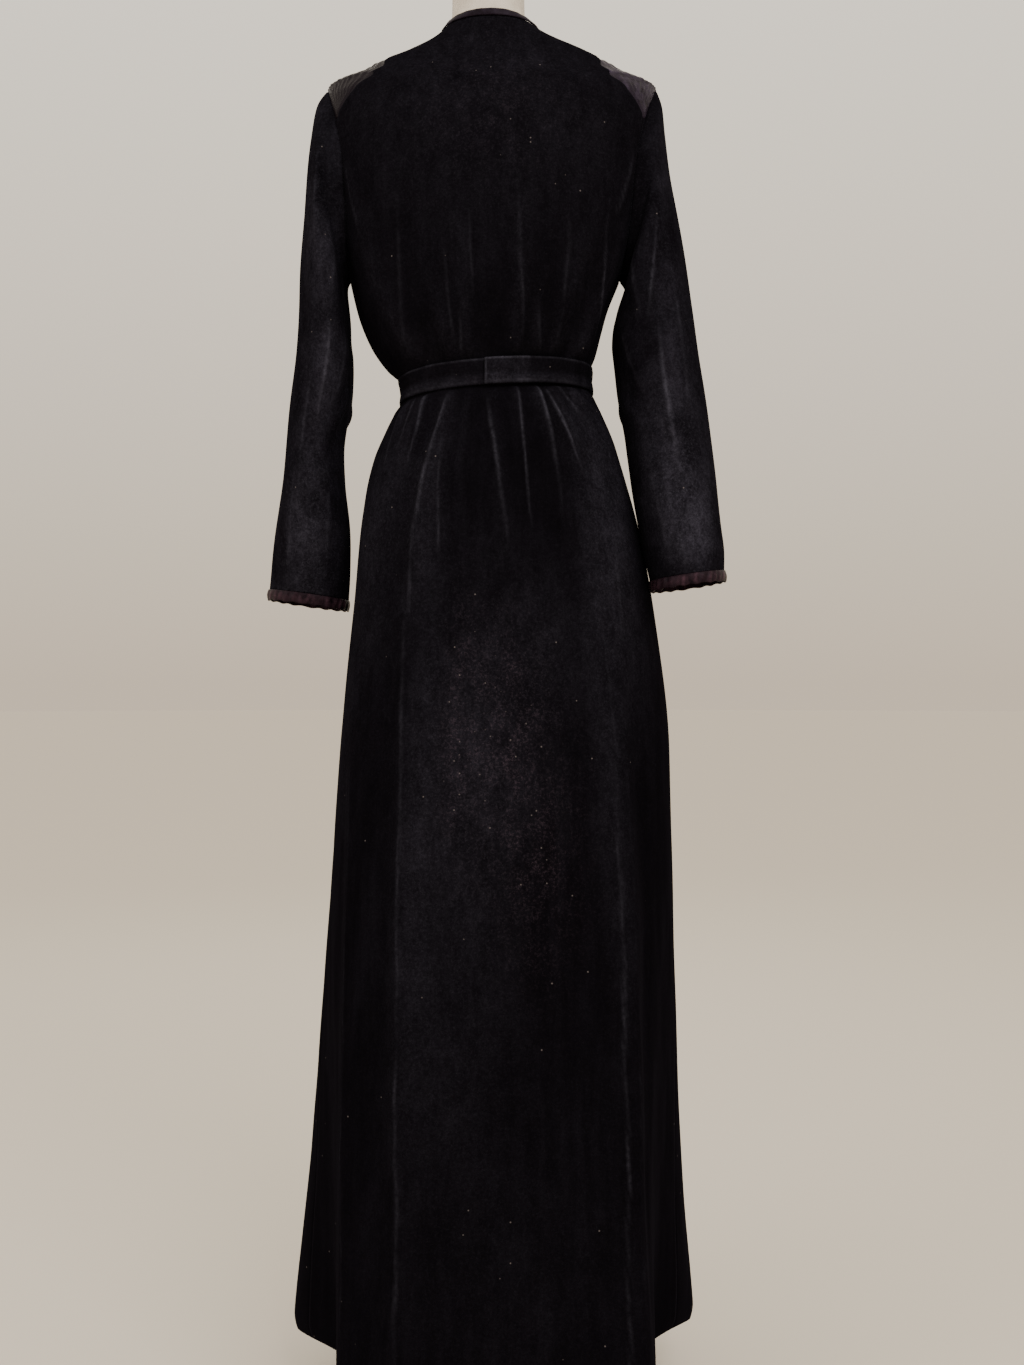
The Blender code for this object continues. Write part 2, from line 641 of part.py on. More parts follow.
def belt():
    """One strip that starts under its own end, goes round the waist and laps over at the back."""

    def place(column, row):
        turn = BELT_UNDER_END + (BELT_OVER_END - BELT_UNDER_END) * column
        climb = soft_step((turn - BELT_CLIMB[0]) / (BELT_CLIMB[1] - BELT_CLIMB[0]))
        angle = math.radians(turn)
        lift = BELT_LIFT + (BELT_WALL + LAP_GAP) * climb + (WALL + LAP_GAP) * over_lap(angle)
        height = BELT_MIDDLE + BELT_HIGH * (row - 0.5)
        return smooth_point(angle, height) + lift * smooth_normal(angle, BELT_MIDDLE)

    piece = add_object("belt", sheet_mesh("belt", BELT_STEPS, 1, place), "velvet")
    add_wall(piece, BELT_WALL, -1)
    return piece


def form_point(turn, height):
    """A point of the dress form, which fills the shoulders and stays inside the cloth lower down."""
    inset = WALL + section(height)["ease"]
    return smooth_point(turn, height) - inset * smooth_normal(turn, height)


def form_body():
    """The torso of the dress form, closed at the neck and below the hips."""

    def place(column, row):
        height = FORM_LEVELS[round(row * (len(FORM_LEVELS) - 1))]
        point = form_point(2 * math.pi * column, height)
        if height in (FORM_FOOT, NECK_TOP):
            point[2] = height
        return point

    mesh = sheet_mesh("form_body", FORM_SIDES, len(FORM_LEVELS) - 1, place, True)
    close_ends(mesh)
    return add_object("form_body", mesh, "linen")


def close_ends(mesh):
    """Fills the open rings of a tube and turns its faces out."""
    form = bmesh.new()
    form.from_mesh(mesh)
    for ring in (min, max):
        level = ring(point.co.z for point in form.verts)
        rim = [edge for edge in form.edges if edge.is_boundary]
        rim = [edge for edge in rim if all(abs(point.co.z - level) < RIM_REACH for point in edge.verts)]
        bmesh.ops.contextual_create(form, geom=rim)
    bmesh.ops.recalc_face_normals(form, faces=form.faces)
    form.to_mesh(mesh)
    form.free()


def neck_cap():
    """A low cap on the form's neck."""

    def place(column, row):
        rise, shrink = NECK_CAP_PROFILE[round(row * (len(NECK_CAP_PROFILE) - 1))]
        point = form_point(2 * math.pi * column, NECK_TOP)
        middle = (form_point(math.pi / 2, NECK_TOP) + form_point(-math.pi / 2, NECK_TOP)) / 2
        flat = middle + (point - middle) * shrink
        return np.array((flat[0], flat[1], NECK_TOP + POLE_GAP + rise))

    mesh = sheet_mesh("neck_cap", FORM_SIDES, len(NECK_CAP_PROFILE) - 1, place, True)
    close_ends(mesh)
    return add_object("neck_cap", mesh, "steel")


def turned(name, profile, finish, steps):
    """A solid turned round the pole's axis from a profile of (radius, height), read down its outer side."""
    mesh = bpy.data.meshes.new(name)
    form = bmesh.new()
    points = [form.verts.new((reach, 0, height)) for reach, height in profile]
    for first, second in zip(points, points[1:]):
        form.edges.new((first, second))
    form.to_mesh(mesh)
    form.free()
    piece = add_object(name, mesh, finish)
    screw = piece.modifiers.new("turned", "SCREW")
    screw.steps = steps
    screw.render_steps = steps
    screw.use_merge_vertices = True
    screw.merge_threshold = WELD
    return piece


def stand():
    """A steel pole with a flange under the form, in the hub of a round base."""
    top = FORM_FOOT - POLE_GAP
    floor = BASE_THICK + POLE_GAP
    pole = (
        (0, top),
        (FLANGE_RADIUS, top),
        (FLANGE_RADIUS, top - FLANGE_THICK),
        (POLE_RADIUS, top - FLANGE_THICK),
        (POLE_RADIUS, floor),
        (0, floor),
    )
    bore = POLE_RADIUS + POLE_GAP
    base = (
        (0, BASE_THICK),
        (bore, BASE_THICK),
        (bore, HUB_TOP),
        (HUB_RADIUS, HUB_TOP),
        (HUB_RADIUS, BASE_THICK),
        (BASE_RADIUS - BASE_EDGE, BASE_THICK),
        (BASE_RADIUS, BASE_THICK - BASE_EDGE),
        (BASE_RADIUS, 0),
        (0, 0),
    )
    turned("stand_pole", pole, "steel", POLE_SIDES)
    turned("stand_base", base, "steel", BASE_SIDES)


def back_panel():
    return panel(
        "back_panel",
        BACK_COLUMNS,
        lambda height: side_edge(-1, 1, height),
        lambda height: side_edge(1, 1, height),
    )


def lap_lift(angle, height):
    """The right front rises over the edge of the left front."""
    under = front_edge(1, height) - 2 * math.pi
    ramp = LAP_RAMP / radius(angle, height)
    return (WALL + LAP_GAP) * soft_step((under + 2 * ramp - angle) / ramp)


def front_left():
    return panel(
        "front_left",
        FRONT_COLUMNS,
        lambda height: side_edge(1, -1, height),
        lambda height: front_edge(1, height),
    )


def front_right():
    return panel(
        "front_right",
        FRONT_COLUMNS,
        lambda height: front_edge(-1, height),
        lambda height: side_edge(-1, -1, height),
        lap_lift,
    )


def build():
    back_panel()
    front_left()
    front_right()
    for side in (1, -1):
        yoke(side)
        sleeve(side)
        cuff_binding(side)
    neck_binding()
    belt()
    form_body()
    neck_cap()
    stand()


for old in list(bpy.data.objects):
    bpy.data.objects.remove(old)
robe_parts = bpy.data.collections.new("robe_on_dress_form")
bpy.context.scene.collection.children.link(robe_parts)
build()
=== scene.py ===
import math

import bmesh
import bpy
import numpy as np
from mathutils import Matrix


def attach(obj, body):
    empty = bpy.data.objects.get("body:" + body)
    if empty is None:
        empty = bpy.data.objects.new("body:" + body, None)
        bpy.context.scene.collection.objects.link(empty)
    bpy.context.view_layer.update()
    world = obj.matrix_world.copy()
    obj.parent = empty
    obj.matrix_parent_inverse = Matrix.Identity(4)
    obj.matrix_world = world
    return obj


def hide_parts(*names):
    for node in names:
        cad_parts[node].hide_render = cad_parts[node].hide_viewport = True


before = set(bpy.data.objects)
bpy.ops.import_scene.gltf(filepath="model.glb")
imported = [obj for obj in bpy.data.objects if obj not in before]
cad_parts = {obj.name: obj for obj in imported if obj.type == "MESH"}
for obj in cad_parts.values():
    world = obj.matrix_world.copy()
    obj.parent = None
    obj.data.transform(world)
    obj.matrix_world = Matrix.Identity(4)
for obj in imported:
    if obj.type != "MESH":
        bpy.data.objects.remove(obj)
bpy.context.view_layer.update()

# The view
# The robe is seen from behind, from about hip height, by a level camera with a 36 mm lens.
VIEW_POINT = (-0.0226, 1.54, 0.82)
view = bpy.data.cameras.new("view")
view.sensor_fit = "VERTICAL"
view.sensor_height = 36
view.lens = 36
view.clip_end = 100
camera = bpy.data.objects.new("view", view)
camera.location = VIEW_POINT
camera.rotation_euler = (math.pi / 2, 0, math.pi)
bpy.context.scene.collection.objects.link(camera)
bpy.context.scene.camera = camera

# Back panel
# One piece of black velvet from nape to hem with no waist seam, sewn to the fronts at the sides and shoulders
# and to the satin insets along slanting seams. Its nap is brushed in streaks, worn and dusty below the hip.
# Painted sheen lightens broad areas of its nap, and painted highlights run along its ridges.
WALL = 0.0013
TUCK = 0.0008
TUCK_REACH = 0.005
SEAM_GAP = 0.00005
HEM, NAPE = 0.042, 1.547
UNDERARM, SHOULDER_TIP = 1.2725, 1.484
YOKE_FOOT, YOKE_APEX = 1.437, 1.521
YOKE_LEDGE = 0.001
ARMHOLE_MIDDLE = (SHOULDER_TIP + UNDERARM) / 2
ARMHOLE_HALF = (SHOULDER_TIP - UNDERARM) / 2
ARMHOLE_WIDE = 0.055
BELT_MIDDLE, BELT_HIGH, BELT_TILT = 1.1516, 0.0285, -0.064
TILTED = (1.03, 1.11, 1.20, 1.2725)
FOLD_END = 0.005
HAND_DEEP = 0.00035
MERGE = 0.00001

# Half widths and half depths of the body at each height, how square it is, and the form's ease inside it.
SECTION_COLUMNS = ("height", "left", "right", "back", "front", "power", "ease")
SECTIONS = (
    (0.042, 0.2170, 0.226, 0.190, 0.190, 2.0, 0.010),
    (0.250, 0.2075, 0.219, 0.178, 0.176, 2.0, 0.010),
    (0.460, 0.194, 0.212, 0.164, 0.160, 2.05, 0.010),
    (0.740, 0.171, 0.202, 0.140, 0.135, 2.15, 0.010),
    (0.910, 0.1545, 0.180, 0.122, 0.112, 2.25, 0.008),
    (1.000, 0.146, 0.162, 0.114, 0.106, 2.3, 0.005),
    (1.070, 0.130, 0.141, 0.104, 0.102, 2.3, 0.004),
    (1.107, 0.115, 0.124, 0.094, 0.096, 2.25, 0.003),
    (1.127, 0.105, 0.115, 0.088, 0.092, 2.2, 0.0025),
    (1.1373, 0.1015, 0.1115, 0.084, 0.089, 2.2, 0.0012),
    (1.1516, 0.1005, 0.110, 0.083, 0.088, 2.2, 0.0012),
    (1.1659, 0.1030, 0.111, 0.084, 0.089, 2.2, 0.0015),
    (1.178, 0.1165, 0.116, 0.088, 0.094, 2.2, 0.006),
    (1.206, 0.136, 0.1235, 0.096, 0.102, 2.25, 0.016),
    (1.240, 0.151, 0.132, 0.103, 0.113, 2.3, 0.016),
    (1.290, 0.163, 0.150, 0.108, 0.123, 2.4, 0.013),
    (1.350, 0.172, 0.166, 0.109, 0.126, 2.45, 0.008),
    (1.420, 0.181, 0.178, 0.103, 0.116, 2.45, 0.003),
    (1.465, 0.186, 0.185, 0.090, 0.102, 2.35, 0.0030),
    (1.484, 0.1855, 0.186, 0.077, 0.091, 2.15, 0.0030),
    (1.496, 0.156, 0.159, 0.070, 0.083, 2.1, 0.0028),
    (1.507, 0.138, 0.141, 0.065, 0.077, 2.1, 0.0024),
    (1.519, 0.107, 0.119, 0.0605, 0.071, 2.05, 0.0018),
    (1.532, 0.078, 0.085, 0.0575, 0.063, 2.05, 0.0021),
    (1.543, 0.0605, 0.0605, 0.0560, 0.056, 2.1, 0.0021),
    (1.552, 0.0525, 0.048, 0.055, 0.051, 2.1, 0.0016),
    (1.565, 0.0485, 0.0405, 0.049, 0.048, 2.1, 0.0014),
    (1.590, 0.048, 0.040, 0.046, 0.046, 2.1, 0.0014),
    (1.640, 0.048, 0.040, 0.046, 0.046, 2.1, 0.0014),
)
# Folds: each runs straight between two places and rises at its top, middle and foot. Angles and the half
# width are in degrees, from the middle of the back towards the wearer's left. The first ones are the skirt's.
SKIRT_FOLDS = 12
FOLD_COLUMNS = ("angle_top", "top", "angle_foot", "foot", "rise_top", "rise_middle", "rise_foot", "spread")
FOLDS = (
    # skirt, back
    (-48, 0.93, -43, 0.042, 0.000, 0.014, 0.034, 12),
    (31, 0.99, 26, 0.042, 0.001, 0.010, 0.022, 14),
    (58, 0.93, 46, 0.042, 0.000, 0.006, 0.011, 8),
    (-78, 0.90, -74, 0.042, 0.000, -0.013, -0.045, 18),
    (80, 0.88, 72, 0.042, 0.000, -0.011, -0.045, 17),
    (-5, 0.80, -8, 0.042, 0.000, -0.002, -0.006, 22),
    # skirt, sides
    (-108, 0.92, -112, 0.042, 0.000, 0.008, 0.034, 13),
    (106, 0.92, 108, 0.042, 0.000, 0.006, 0.030, 13),
    # skirt, front
    (-150, 0.95, -146, 0.042, 0.000, 0.012, 0.026, 12),
    (148, 0.96, 142, 0.042, 0.000, 0.012, 0.028, 12),
    (-129, 0.90, -129, 0.042, 0.000, -0.008, -0.028, 10),
    (126, 0.90, 125, 0.042, 0.000, -0.008, -0.026, 10),
    # gathers under the belt, back
    (78, 1.127, 78, 1.010, 0.0040, 0.0030, 0.0, 5.0),
    (62, 1.127, 58, 1.070, 0.0050, 0.0035, 0.0, 4.5),
    (48, 1.127, 52, 1.045, 0.0050, 0.0030, 0.0, 4.5),
    (27, 1.127, 40, 0.860, 0.0055, 0.0040, 0.0, 4.5),
    (14, 1.127, 20, 0.960, 0.0040, 0.0030, 0.0, 4.0),
    (-2, 1.127, -8, 0.930, 0.0040, 0.0025, 0.0, 4.5),
    (-17, 1.127, -20, 1.050, 0.0050, 0.0035, 0.0, 4.0),
    (-30, 1.127, -36, 1.055, 0.0055, 0.0040, 0.0, 4.0),
    (-42, 1.127, -50, 1.050, 0.0055, 0.0040, 0.0, 4.5),
    (-56, 1.127, -62, 1.085, 0.0050, 0.0030, 0.0, 4.5),
    (-72, 1.127, -72, 0.990, 0.0040, 0.0030, 0.0, 5.0),
    # gathers under the belt, front
    (100, 1.127, 102, 1.040, 0.0045, 0.0030, 0.0, 5.0),
    (119, 1.127, 124, 0.980, 0.0050, 0.0035, 0.0, 5.0),
    (136, 1.127, 140, 1.050, 0.0050, 0.0035, 0.0, 4.5),
    (-98, 1.127, -99, 1.030, 0.0045, 0.0030, 0.0, 5.0),
    (-116, 1.127, -121, 0.990, 0.0050, 0.0035, 0.0, 5.0),
    (-134, 1.127, -138, 1.050, 0.0050, 0.0035, 0.0, 4.5),
    # drag lines of the bodice, back
    (66, 1.330, 52, 1.176, 0.0, 0.0040, 0.0050, 6.0),
    (34, 1.280, 28, 1.176, 0.0, 0.0035, 0.0045, 5.0),
    (17, 1.340, 15, 1.176, 0.0, 0.0035, 0.0045, 4.5),
    (-16, 1.360, -17, 1.176, 0.0, 0.0035, 0.0045, 4.5),
    (-26, 1.250, -30, 1.176, 0.0, 0.0030, 0.0050, 4.0),
    (-52, 1.350, -42, 1.176, 0.0, 0.0040, 0.0045, 5.5),
    (-74, 1.370, -62, 1.176, 0.0, 0.0040, 0.0050, 6.0),
    # drag lines of the bodice, front
    (112, 1.300, 118, 1.176, 0.0, 0.0035, 0.0045, 6.0),
    (134, 1.290, 140, 1.176, 0.0, 0.0035, 0.0045, 5.5),
    (-112, 1.300, -116, 1.176, 0.0, 0.0035, 0.0045, 6.0),
    (-134, 1.280, -138, 1.176, 0.0, 0.0035, 0.0045, 5.5),
)
# Finer creases: each runs through three places, is highest at a share of its way down, and carries a painted
# highlight line along its ridge. Angles and the half width are in degrees; rises in metres.
LINE_COLUMNS = (
    *("angle_top", "top", "angle_middle", "middle", "angle_foot", "foot"),
    *("highest", "rise", "light", "spread"),
)
LINES = (
    # under the belt, back
    (64, 1.126, 63, 1.100, 63, 1.050, 0.2, 0.0022, 0.60, 2.4),
    (56, 1.132, 54, 1.109, 54, 1.065, 0.2, 0.0022, 0.72, 2.4),
    (46, 1.134, 45, 1.102, 46, 1.045, 0.2, 0.0024, 0.80, 2.4),
    (28, 1.134, 34, 1.060, 37, 0.870, 0.3, 0.0032, 1.00, 2.6),
    (27, 1.085, 27, 1.000, 24, 0.940, 0.5, 0.0016, 0.45, 2.2),
    (3, 1.128, -4, 1.050, -9, 0.950, 0.4, 0.0020, 0.50, 2.2),
    (-18, 1.134, -19, 1.057, -22, 0.970, 0.2, 0.0024, 0.85, 2.2),
    (-32, 1.134, -34, 1.075, -36, 0.985, 0.2, 0.0026, 1.00, 2.2),
    (-37, 1.132, -43, 1.085, -49, 1.035, 0.3, 0.0024, 0.95, 2.2),
    (-45, 1.132, -51, 1.114, -60, 1.088, 0.3, 0.0022, 0.85, 2.4),
    (-46, 1.133, -58, 1.120, -68, 1.106, 0.5, 0.0040, 0.00, 4.5),
    (-61, 0.990, -58, 0.929, -57, 0.860, 0.5, 0.0015, 0.30, 2.6),
    # drag lines of the bodice, back
    (46, 1.345, 47, 1.263, 54, 1.180, 0.7, 0.0022, 0.24, 2.6),
    (25, 1.280, 24, 1.230, 24, 1.173, 0.7, 0.0022, 0.34, 2.2),
    (18, 1.215, 19, 1.190, 21, 1.169, 0.7, 0.0016, 0.28, 2.0),
    (12, 1.325, 11, 1.274, 11, 1.220, 0.6, 0.0014, 0.22, 2.2),
    (-15, 1.360, -18, 1.240, -22, 1.169, 0.8, 0.0020, 0.26, 2.2),
    (-29, 1.215, -31, 1.190, -34, 1.170, 0.8, 0.0018, 0.28, 2.0),
    (-40, 1.320, -41, 1.235, -43, 1.172, 0.7, 0.0024, 0.36, 2.4),
    (-58, 1.345, -62, 1.255, -72, 1.178, 0.6, 0.0026, 0.42, 2.8),
    (-68, 1.390, -65, 1.353, -61, 1.320, 0.5, 0.0018, 0.36, 3.0),
    (69, 1.385, 67, 1.340, 64, 1.295, 0.5, 0.0018, 0.36, 3.0),
    # long edges of the skirt's folds, back; the last two are the troughs behind them
    (-54, 0.900, -50, 0.500, -43, 0.046, 0.6, 0.0050, 0.06, 3.2),
    (-50, 0.900, -45.5, 0.500, -38.5, 0.046, 0.6, 0.0000, 0.42, 3.2),
    (40, 0.900, 32, 0.500, 26, 0.046, 0.5, 0.0040, 0.50, 3.2),
    (69, 0.880, 55, 0.450, 46, 0.046, 0.6, 0.0030, 0.16, 3.0),
    (-61, 0.880, -57, 0.500, -50, 0.046, 0.7, -0.0050, 0.00, 3.6),
    (47, 0.880, 39, 0.500, 33, 0.046, 0.7, -0.0030, 0.00, 4.0),
    # front
    (108, 1.132, 110, 1.100, 112, 1.055, 0.1, 0.0022, 0.40, 2.4),
    (118, 1.132, 121, 1.050, 125, 0.940, 0.2, 0.0028, 0.65, 2.4),
    (130, 1.132, 131, 1.095, 133, 1.050, 0.1, 0.0022, 0.45, 2.4),
    (147, 1.132, 148, 1.095, 150, 1.040, 0.1, 0.0020, 0.35, 2.4),
    (-104, 1.132, -106, 1.100, -108, 1.060, 0.1, 0.0022, 0.40, 2.4),
    (-115, 1.132, -118, 1.060, -122, 0.950, 0.2, 0.0028, 0.60, 2.4),
    (-128, 1.132, -131, 1.090, -134, 1.045, 0.1, 0.0022, 0.45, 2.4),
    (-142, 1.132, -144, 1.095, -147, 1.050, 0.1, 0.0020, 0.35, 2.4),
    (112, 1.330, 115, 1.250, 119, 1.176, 0.7, 0.0022, 0.30, 2.6),
    (127, 1.290, 128, 1.230, 130, 1.176, 0.7, 0.0020, 0.30, 2.4),
    (143, 1.270, 143, 1.220, 144, 1.176, 0.7, 0.0016, 0.24, 2.4),
    (-110, 1.340, -113, 1.250, -116, 1.176, 0.7, 0.0022, 0.30, 2.6),
    (-125, 1.280, -126, 1.225, -128, 1.176, 0.7, 0.0020, 0.30, 2.4),
    (148, 0.900, 145, 0.500, 142, 0.046, 0.7, 0.0040, 0.28, 3.2),
    (-150, 0.900, -148, 0.500, -146, 0.046, 0.7, 0.0040, 0.28, 3.2),
    (126, 0.880, 125, 0.500, 124, 0.046, 0.7, -0.0035, 0.00, 4.0),
)
# The hem hangs a little higher at the sides.
HEM_ROLL, HEM_ROLL_DEEP = 0.0045, 0.02
HEM_RISE_TOP = 0.30
HEM_COLUMNS = ("angle", "rise", "spread")
HEM_RISES = (
    (84, 0.040, 30),
    (-86, 0.050, 28),
)
# Where the panels' slanting seams meet the insets: height and distance from the shoulder line.
YOKE_SEAM = (
    (YOKE_FOOT, 0.0505),
    (1.452, 0.0575),
    (1.465, 0.0620),
    (1.4765, 0.0620),
    (1.4850, 0.0575),
    (1.4935, 0.0500),
    (1.503, 0.0405),
    (1.512, 0.0285),
    (1.518, 0.0150),
    (YOKE_APEX, 0.000),
)


def reading(table, column):
    """A function of height that runs smoothly through one column of a table."""
    heights = np.array([row[0] for row in table])
    values = np.array([row[column] for row in table])
    rises = np.diff(values) / np.diff(heights)
    slopes = np.zeros(len(table))
    for index in range(1, len(table) - 1):
        before, after = rises[index - 1], rises[index]
        if before * after > 0:
            slopes[index] = 2 * before * after / (before + after)

    def read(height):
        height = np.clip(height, heights[0], heights[-1])
        low = np.clip(np.searchsorted(heights, height, side="right") - 1, 0, len(table) - 2)
        step = heights[low + 1] - heights[low]
        t = (height - heights[low]) / step
        return (
            (2 * t**3 - 3 * t**2 + 1) * values[low]
            + (t**3 - 2 * t**2 + t) * step * slopes[low]
            + (-2 * t**3 + 3 * t**2) * values[low + 1]
            + (t**3 - t**2) * step * slopes[low + 1]
        )

    return read


body_shape = {name: reading(SECTIONS, column) for column, name in enumerate(SECTION_COLUMNS) if column}
yoke_seam = reading(YOKE_SEAM, 1)


def soft_step(share):
    """0 below 0, 1 above 1 and a smooth rise between."""
    share = np.clip(share, 0.0, 1.0)
    return share * share * (3 - 2 * share)


def radius(angle, height):
    """Distance from the pole's axis to the outer side of the smooth body."""
    across, along = np.sin(angle), np.cos(angle)
    wide = np.where(across > 0, body_shape["left"](height), body_shape["right"](height))
    deep = np.where(along > 0, body_shape["back"](height), body_shape["front"](height))
    power = body_shape["power"](height)
    return (np.abs(across / wide) ** power + np.abs(along / deep) ** power) ** (-1 / power)


def hem_rise(angle, height):
    """How much higher the cloth hangs near the hem."""
    rise = 0.0
    for bump in HEM_RISES:
        row = dict(zip(HEM_COLUMNS, bump))
        away = (np.degrees(angle) - row["angle"] + 180) % 360 - 180
        rise = rise + row["rise"] * np.exp(-((away / row["spread"]) ** 2))
    return rise * soft_step((HEM_RISE_TOP - height) / (HEM_RISE_TOP - HEM))


def smooth_point(angle, height):
    """Points of the smooth body."""
    reach = radius(angle, height)
    x = reach * np.sin(angle)
    grow = soft_step((height - TILTED[0]) / (TILTED[1] - TILTED[0]))
    fade = soft_step((TILTED[3] - height) / (TILTED[3] - TILTED[2]))
    rise = BELT_TILT * x * grow * fade + hem_rise(angle, height)
    return np.stack((x, reach * np.cos(angle), height + rise), axis=-1)


def smooth_normal(angle, height):
    """Directions straight out of the smooth body."""
    turn, lift = 0.002, 0.0006
    round_way = smooth_point(angle + turn, height) - smooth_point(angle - turn, height)
    up_way = smooth_point(angle, height + lift) - smooth_point(angle, height - lift)
    out = np.cross(up_way, round_way)
    return out / np.linalg.norm(out, axis=-1, keepdims=True)


def fold_rise(angle, height, folds):
    """How far folds lift the cloth."""
    rise = np.zeros(np.broadcast(angle, height).shape)
    for fold in folds:
        row = dict(zip(FOLD_COLUMNS, fold))
        along = (row["top"] - height) / (row["top"] - row["foot"])
        past = np.maximum(np.maximum(height - row["top"], row["foot"] - height), 0.0)
        fade = np.exp(-((past / FOLD_END) ** 2))
        along = np.clip(along, 0.0, 1.0)
        ends = (1 - along) * row["rise_top"] + along * row["rise_foot"]
        straight = (row["rise_top"] + row["rise_foot"]) / 2
        level = ends + 4 * along * (1 - along) * (row["rise_middle"] - straight)
        centre = row["angle_top"] + along * (row["angle_foot"] - row["angle_top"])
        away = (np.degrees(angle) - centre + 180) % 360 - 180
        rise += fade * level * np.exp(-((away / row["spread"]) ** 2))
    return rise


def line_rise(angle, height, width=None):
    """How far the finer creases lift the cloth, or how strong their painted highlight lines are, given their
    width.
    """
    total = np.zeros(np.broadcast(angle, height).shape)
    for order, line in enumerate(LINES):
        row = dict(zip(LINE_COLUMNS, line))
        along = (row["top"] - height) / (row["top"] - row["foot"])
        middle = (row["top"] - row["middle"]) / (row["top"] - row["foot"])
        t = np.clip(along, 0.0, 1.0)
        centre = (
            row["angle_top"] * (t - middle) * (t - 1) / middle
            + row["angle_middle"] * t * (t - 1) / (middle * (middle - 1))
            + row["angle_foot"] * t * (t - middle) / (1 - middle)
        )
        centre = centre + 0.35 * np.sin(29 * height + 1.7 * order) + 0.2 * np.sin(83 * height + order)
        away = (np.degrees(angle) - centre + 180) % 360 - 180
        level = np.exp(-(((t - row["highest"]) / 0.55) ** 2))
        level = level * soft_step(along / 0.06) * soft_step((1 - along) / 0.2)
        if width is None:
            total += row["rise"] * level * np.exp(-((away / row["spread"]) ** 2))
            continue
        uneven = 0.75 + 0.25 * np.sin(2.3 * order + 37 * height)
        here = width * (1 + 0.35 * np.sin(3.1 * order + 11 * height))
        thin = np.exp(-((np.radians(away) * radius(angle, height) / here) ** 2))
        total = np.maximum(total, row["light"] * level * uneven * thin)
    return total


def hem_roll(height):
    """The hem's turned edge curls in."""
    return -HEM_ROLL * np.clip(1 - (height - HEM) / HEM_ROLL_DEEP, 0, 1) ** 2


def hand(angle, height):
    """The slight unevenness of hanging velvet: long, shallow waves that never repeat."""
    waves = (
        np.sin(5.3 * angle + 9.1 * height + 0.6)
        + 0.7 * np.sin(11.7 * angle - 15.0 * height + 2.1)
        + 0.5 * np.sin(23.0 * angle + 24.0 * height + 4.4)
        + 0.35 * np.sin(37.0 * angle - 41.0 * height + 1.3)
    )
    return HAND_DEEP * waves * (0.4 + soft_step((1.10 - height) / 0.5))


def cloth_point(angle, height, lift=0.0):
    """Points of the outer side of the robe's cloth, moved out by a lift."""
    reach = fold_rise(angle, height, FOLDS) + line_rise(angle, height) + hand(angle, height) + lift
    reach = reach + hem_roll(height)
    return smooth_point(angle, height) + reach[..., None] * smooth_normal(angle, height)


def side_x(side, y, height):
    """X of the smooth body at a place seen from the side."""
    wide = body_shape["left" if side > 0 else "right"](height)
    deep = np.where(y > 0, body_shape["back"](height), body_shape["front"](height))
    power = body_shape["power"](height)
    return side * wide * np.maximum(0.0, 1 - np.abs(y / deep) ** power) ** (1 / power)


def angle_at(side, y, height):
    """Angle of a place on the body, seen from the side."""
    return np.arctan2(side_x(side, y, height), y)


def armhole_y(height):
    """Half of the armhole's width at a height."""
    return ARMHOLE_WIDE * np.sqrt(np.maximum(0.0, 1 - ((height - ARMHOLE_MIDDLE) / ARMHOLE_HALF) ** 2))


def side_edge(side, facing, height):
    """Angle where a back (facing 1) or front (facing -1) panel ends towards one side."""
    y = np.where(height < YOKE_FOOT - YOKE_LEDGE / 2, armhole_y(height), yoke_seam(height))
    open_edge = angle_at(side, facing * y, height)
    return np.where((height <= UNDERARM) | (height >= YOKE_APEX), side * math.pi / 2, open_edge)


def stretch(*stops):
    """Row heights: pairs of a start height and its number of rows, closed by the last height."""
    parts = zip(stops[0::2], stops[2::2], stops[1::2])
    heights = [np.linspace(low, high, count, endpoint=False) for low, high, count in parts]
    return np.concatenate(heights + [[stops[-1]]])


def armhole_rows(count):
    """Row heights at even steps round the armhole, from the underarm to the yoke's foot."""
    last = math.acos((ARMHOLE_MIDDLE - YOKE_FOOT + YOKE_LEDGE) / ARMHOLE_HALF)
    return ARMHOLE_MIDDLE - ARMHOLE_HALF * np.cos(last * np.arange(count + 1) / count)


PANEL_ROWS = np.concatenate(
    (
        stretch(HEM, 6, 0.066, 66, 0.90, 68, UNDERARM)[:-1],
        armhole_rows(26),
        stretch(YOKE_FOOT, 26, YOKE_APEX, 8, NAPE),
    )
)


def grid_piece(name, columns, rows, place, outward=True, closed=False, marks=None):
    """A cloth sheet from a grid. place gives points for arrays of column and row numbers, and marks holds
    values for the points, which the material reads under the same name."""
    form = bmesh.new()
    bmesh.ops.create_grid(form, x_segments=columns, y_segments=rows, size=0.5)
    form.verts.ensure_lookup_table()
    spots = np.array([point.co[:2] for point in form.verts])
    steps = np.rint((spots + 0.5) * (columns, rows)).astype(int)
    points = place(steps[:, 0], steps[:, 1])
    for point, spot in zip(form.verts, points):
        point.co = spot
    for mark, values in (marks or {}).items():
        store = form.verts.layers.float.new(mark)
        for point, value in zip(form.verts, np.broadcast_to(values, len(points))):
            point[store] = value
    layer = form.loops.layers.uv.new("cut")
    for face in form.faces:
        for corner in face.loops:
            step = steps[corner.vert.index]
            corner[layer].uv = (step[0] / columns, step[1] / rows)
    if closed:
        bmesh.ops.remove_doubles(form, verts=form.verts, dist=MERGE)
    if not outward:
        bmesh.ops.reverse_faces(form, faces=form.faces)
    mesh = bpy.data.meshes.new(name)
    form.to_mesh(mesh)
    form.free()
    mesh.shade_smooth()
    piece = bpy.data.objects.new(name, mesh)
    bpy.context.scene.collection.objects.link(piece)
    return piece


def give_wall(piece, thick):
    """Thickens a sheet inwards from its outer side."""
    wall = piece.modifiers.new("wall", "SOLIDIFY")
    wall.thickness = thick
    wall.offset = -1


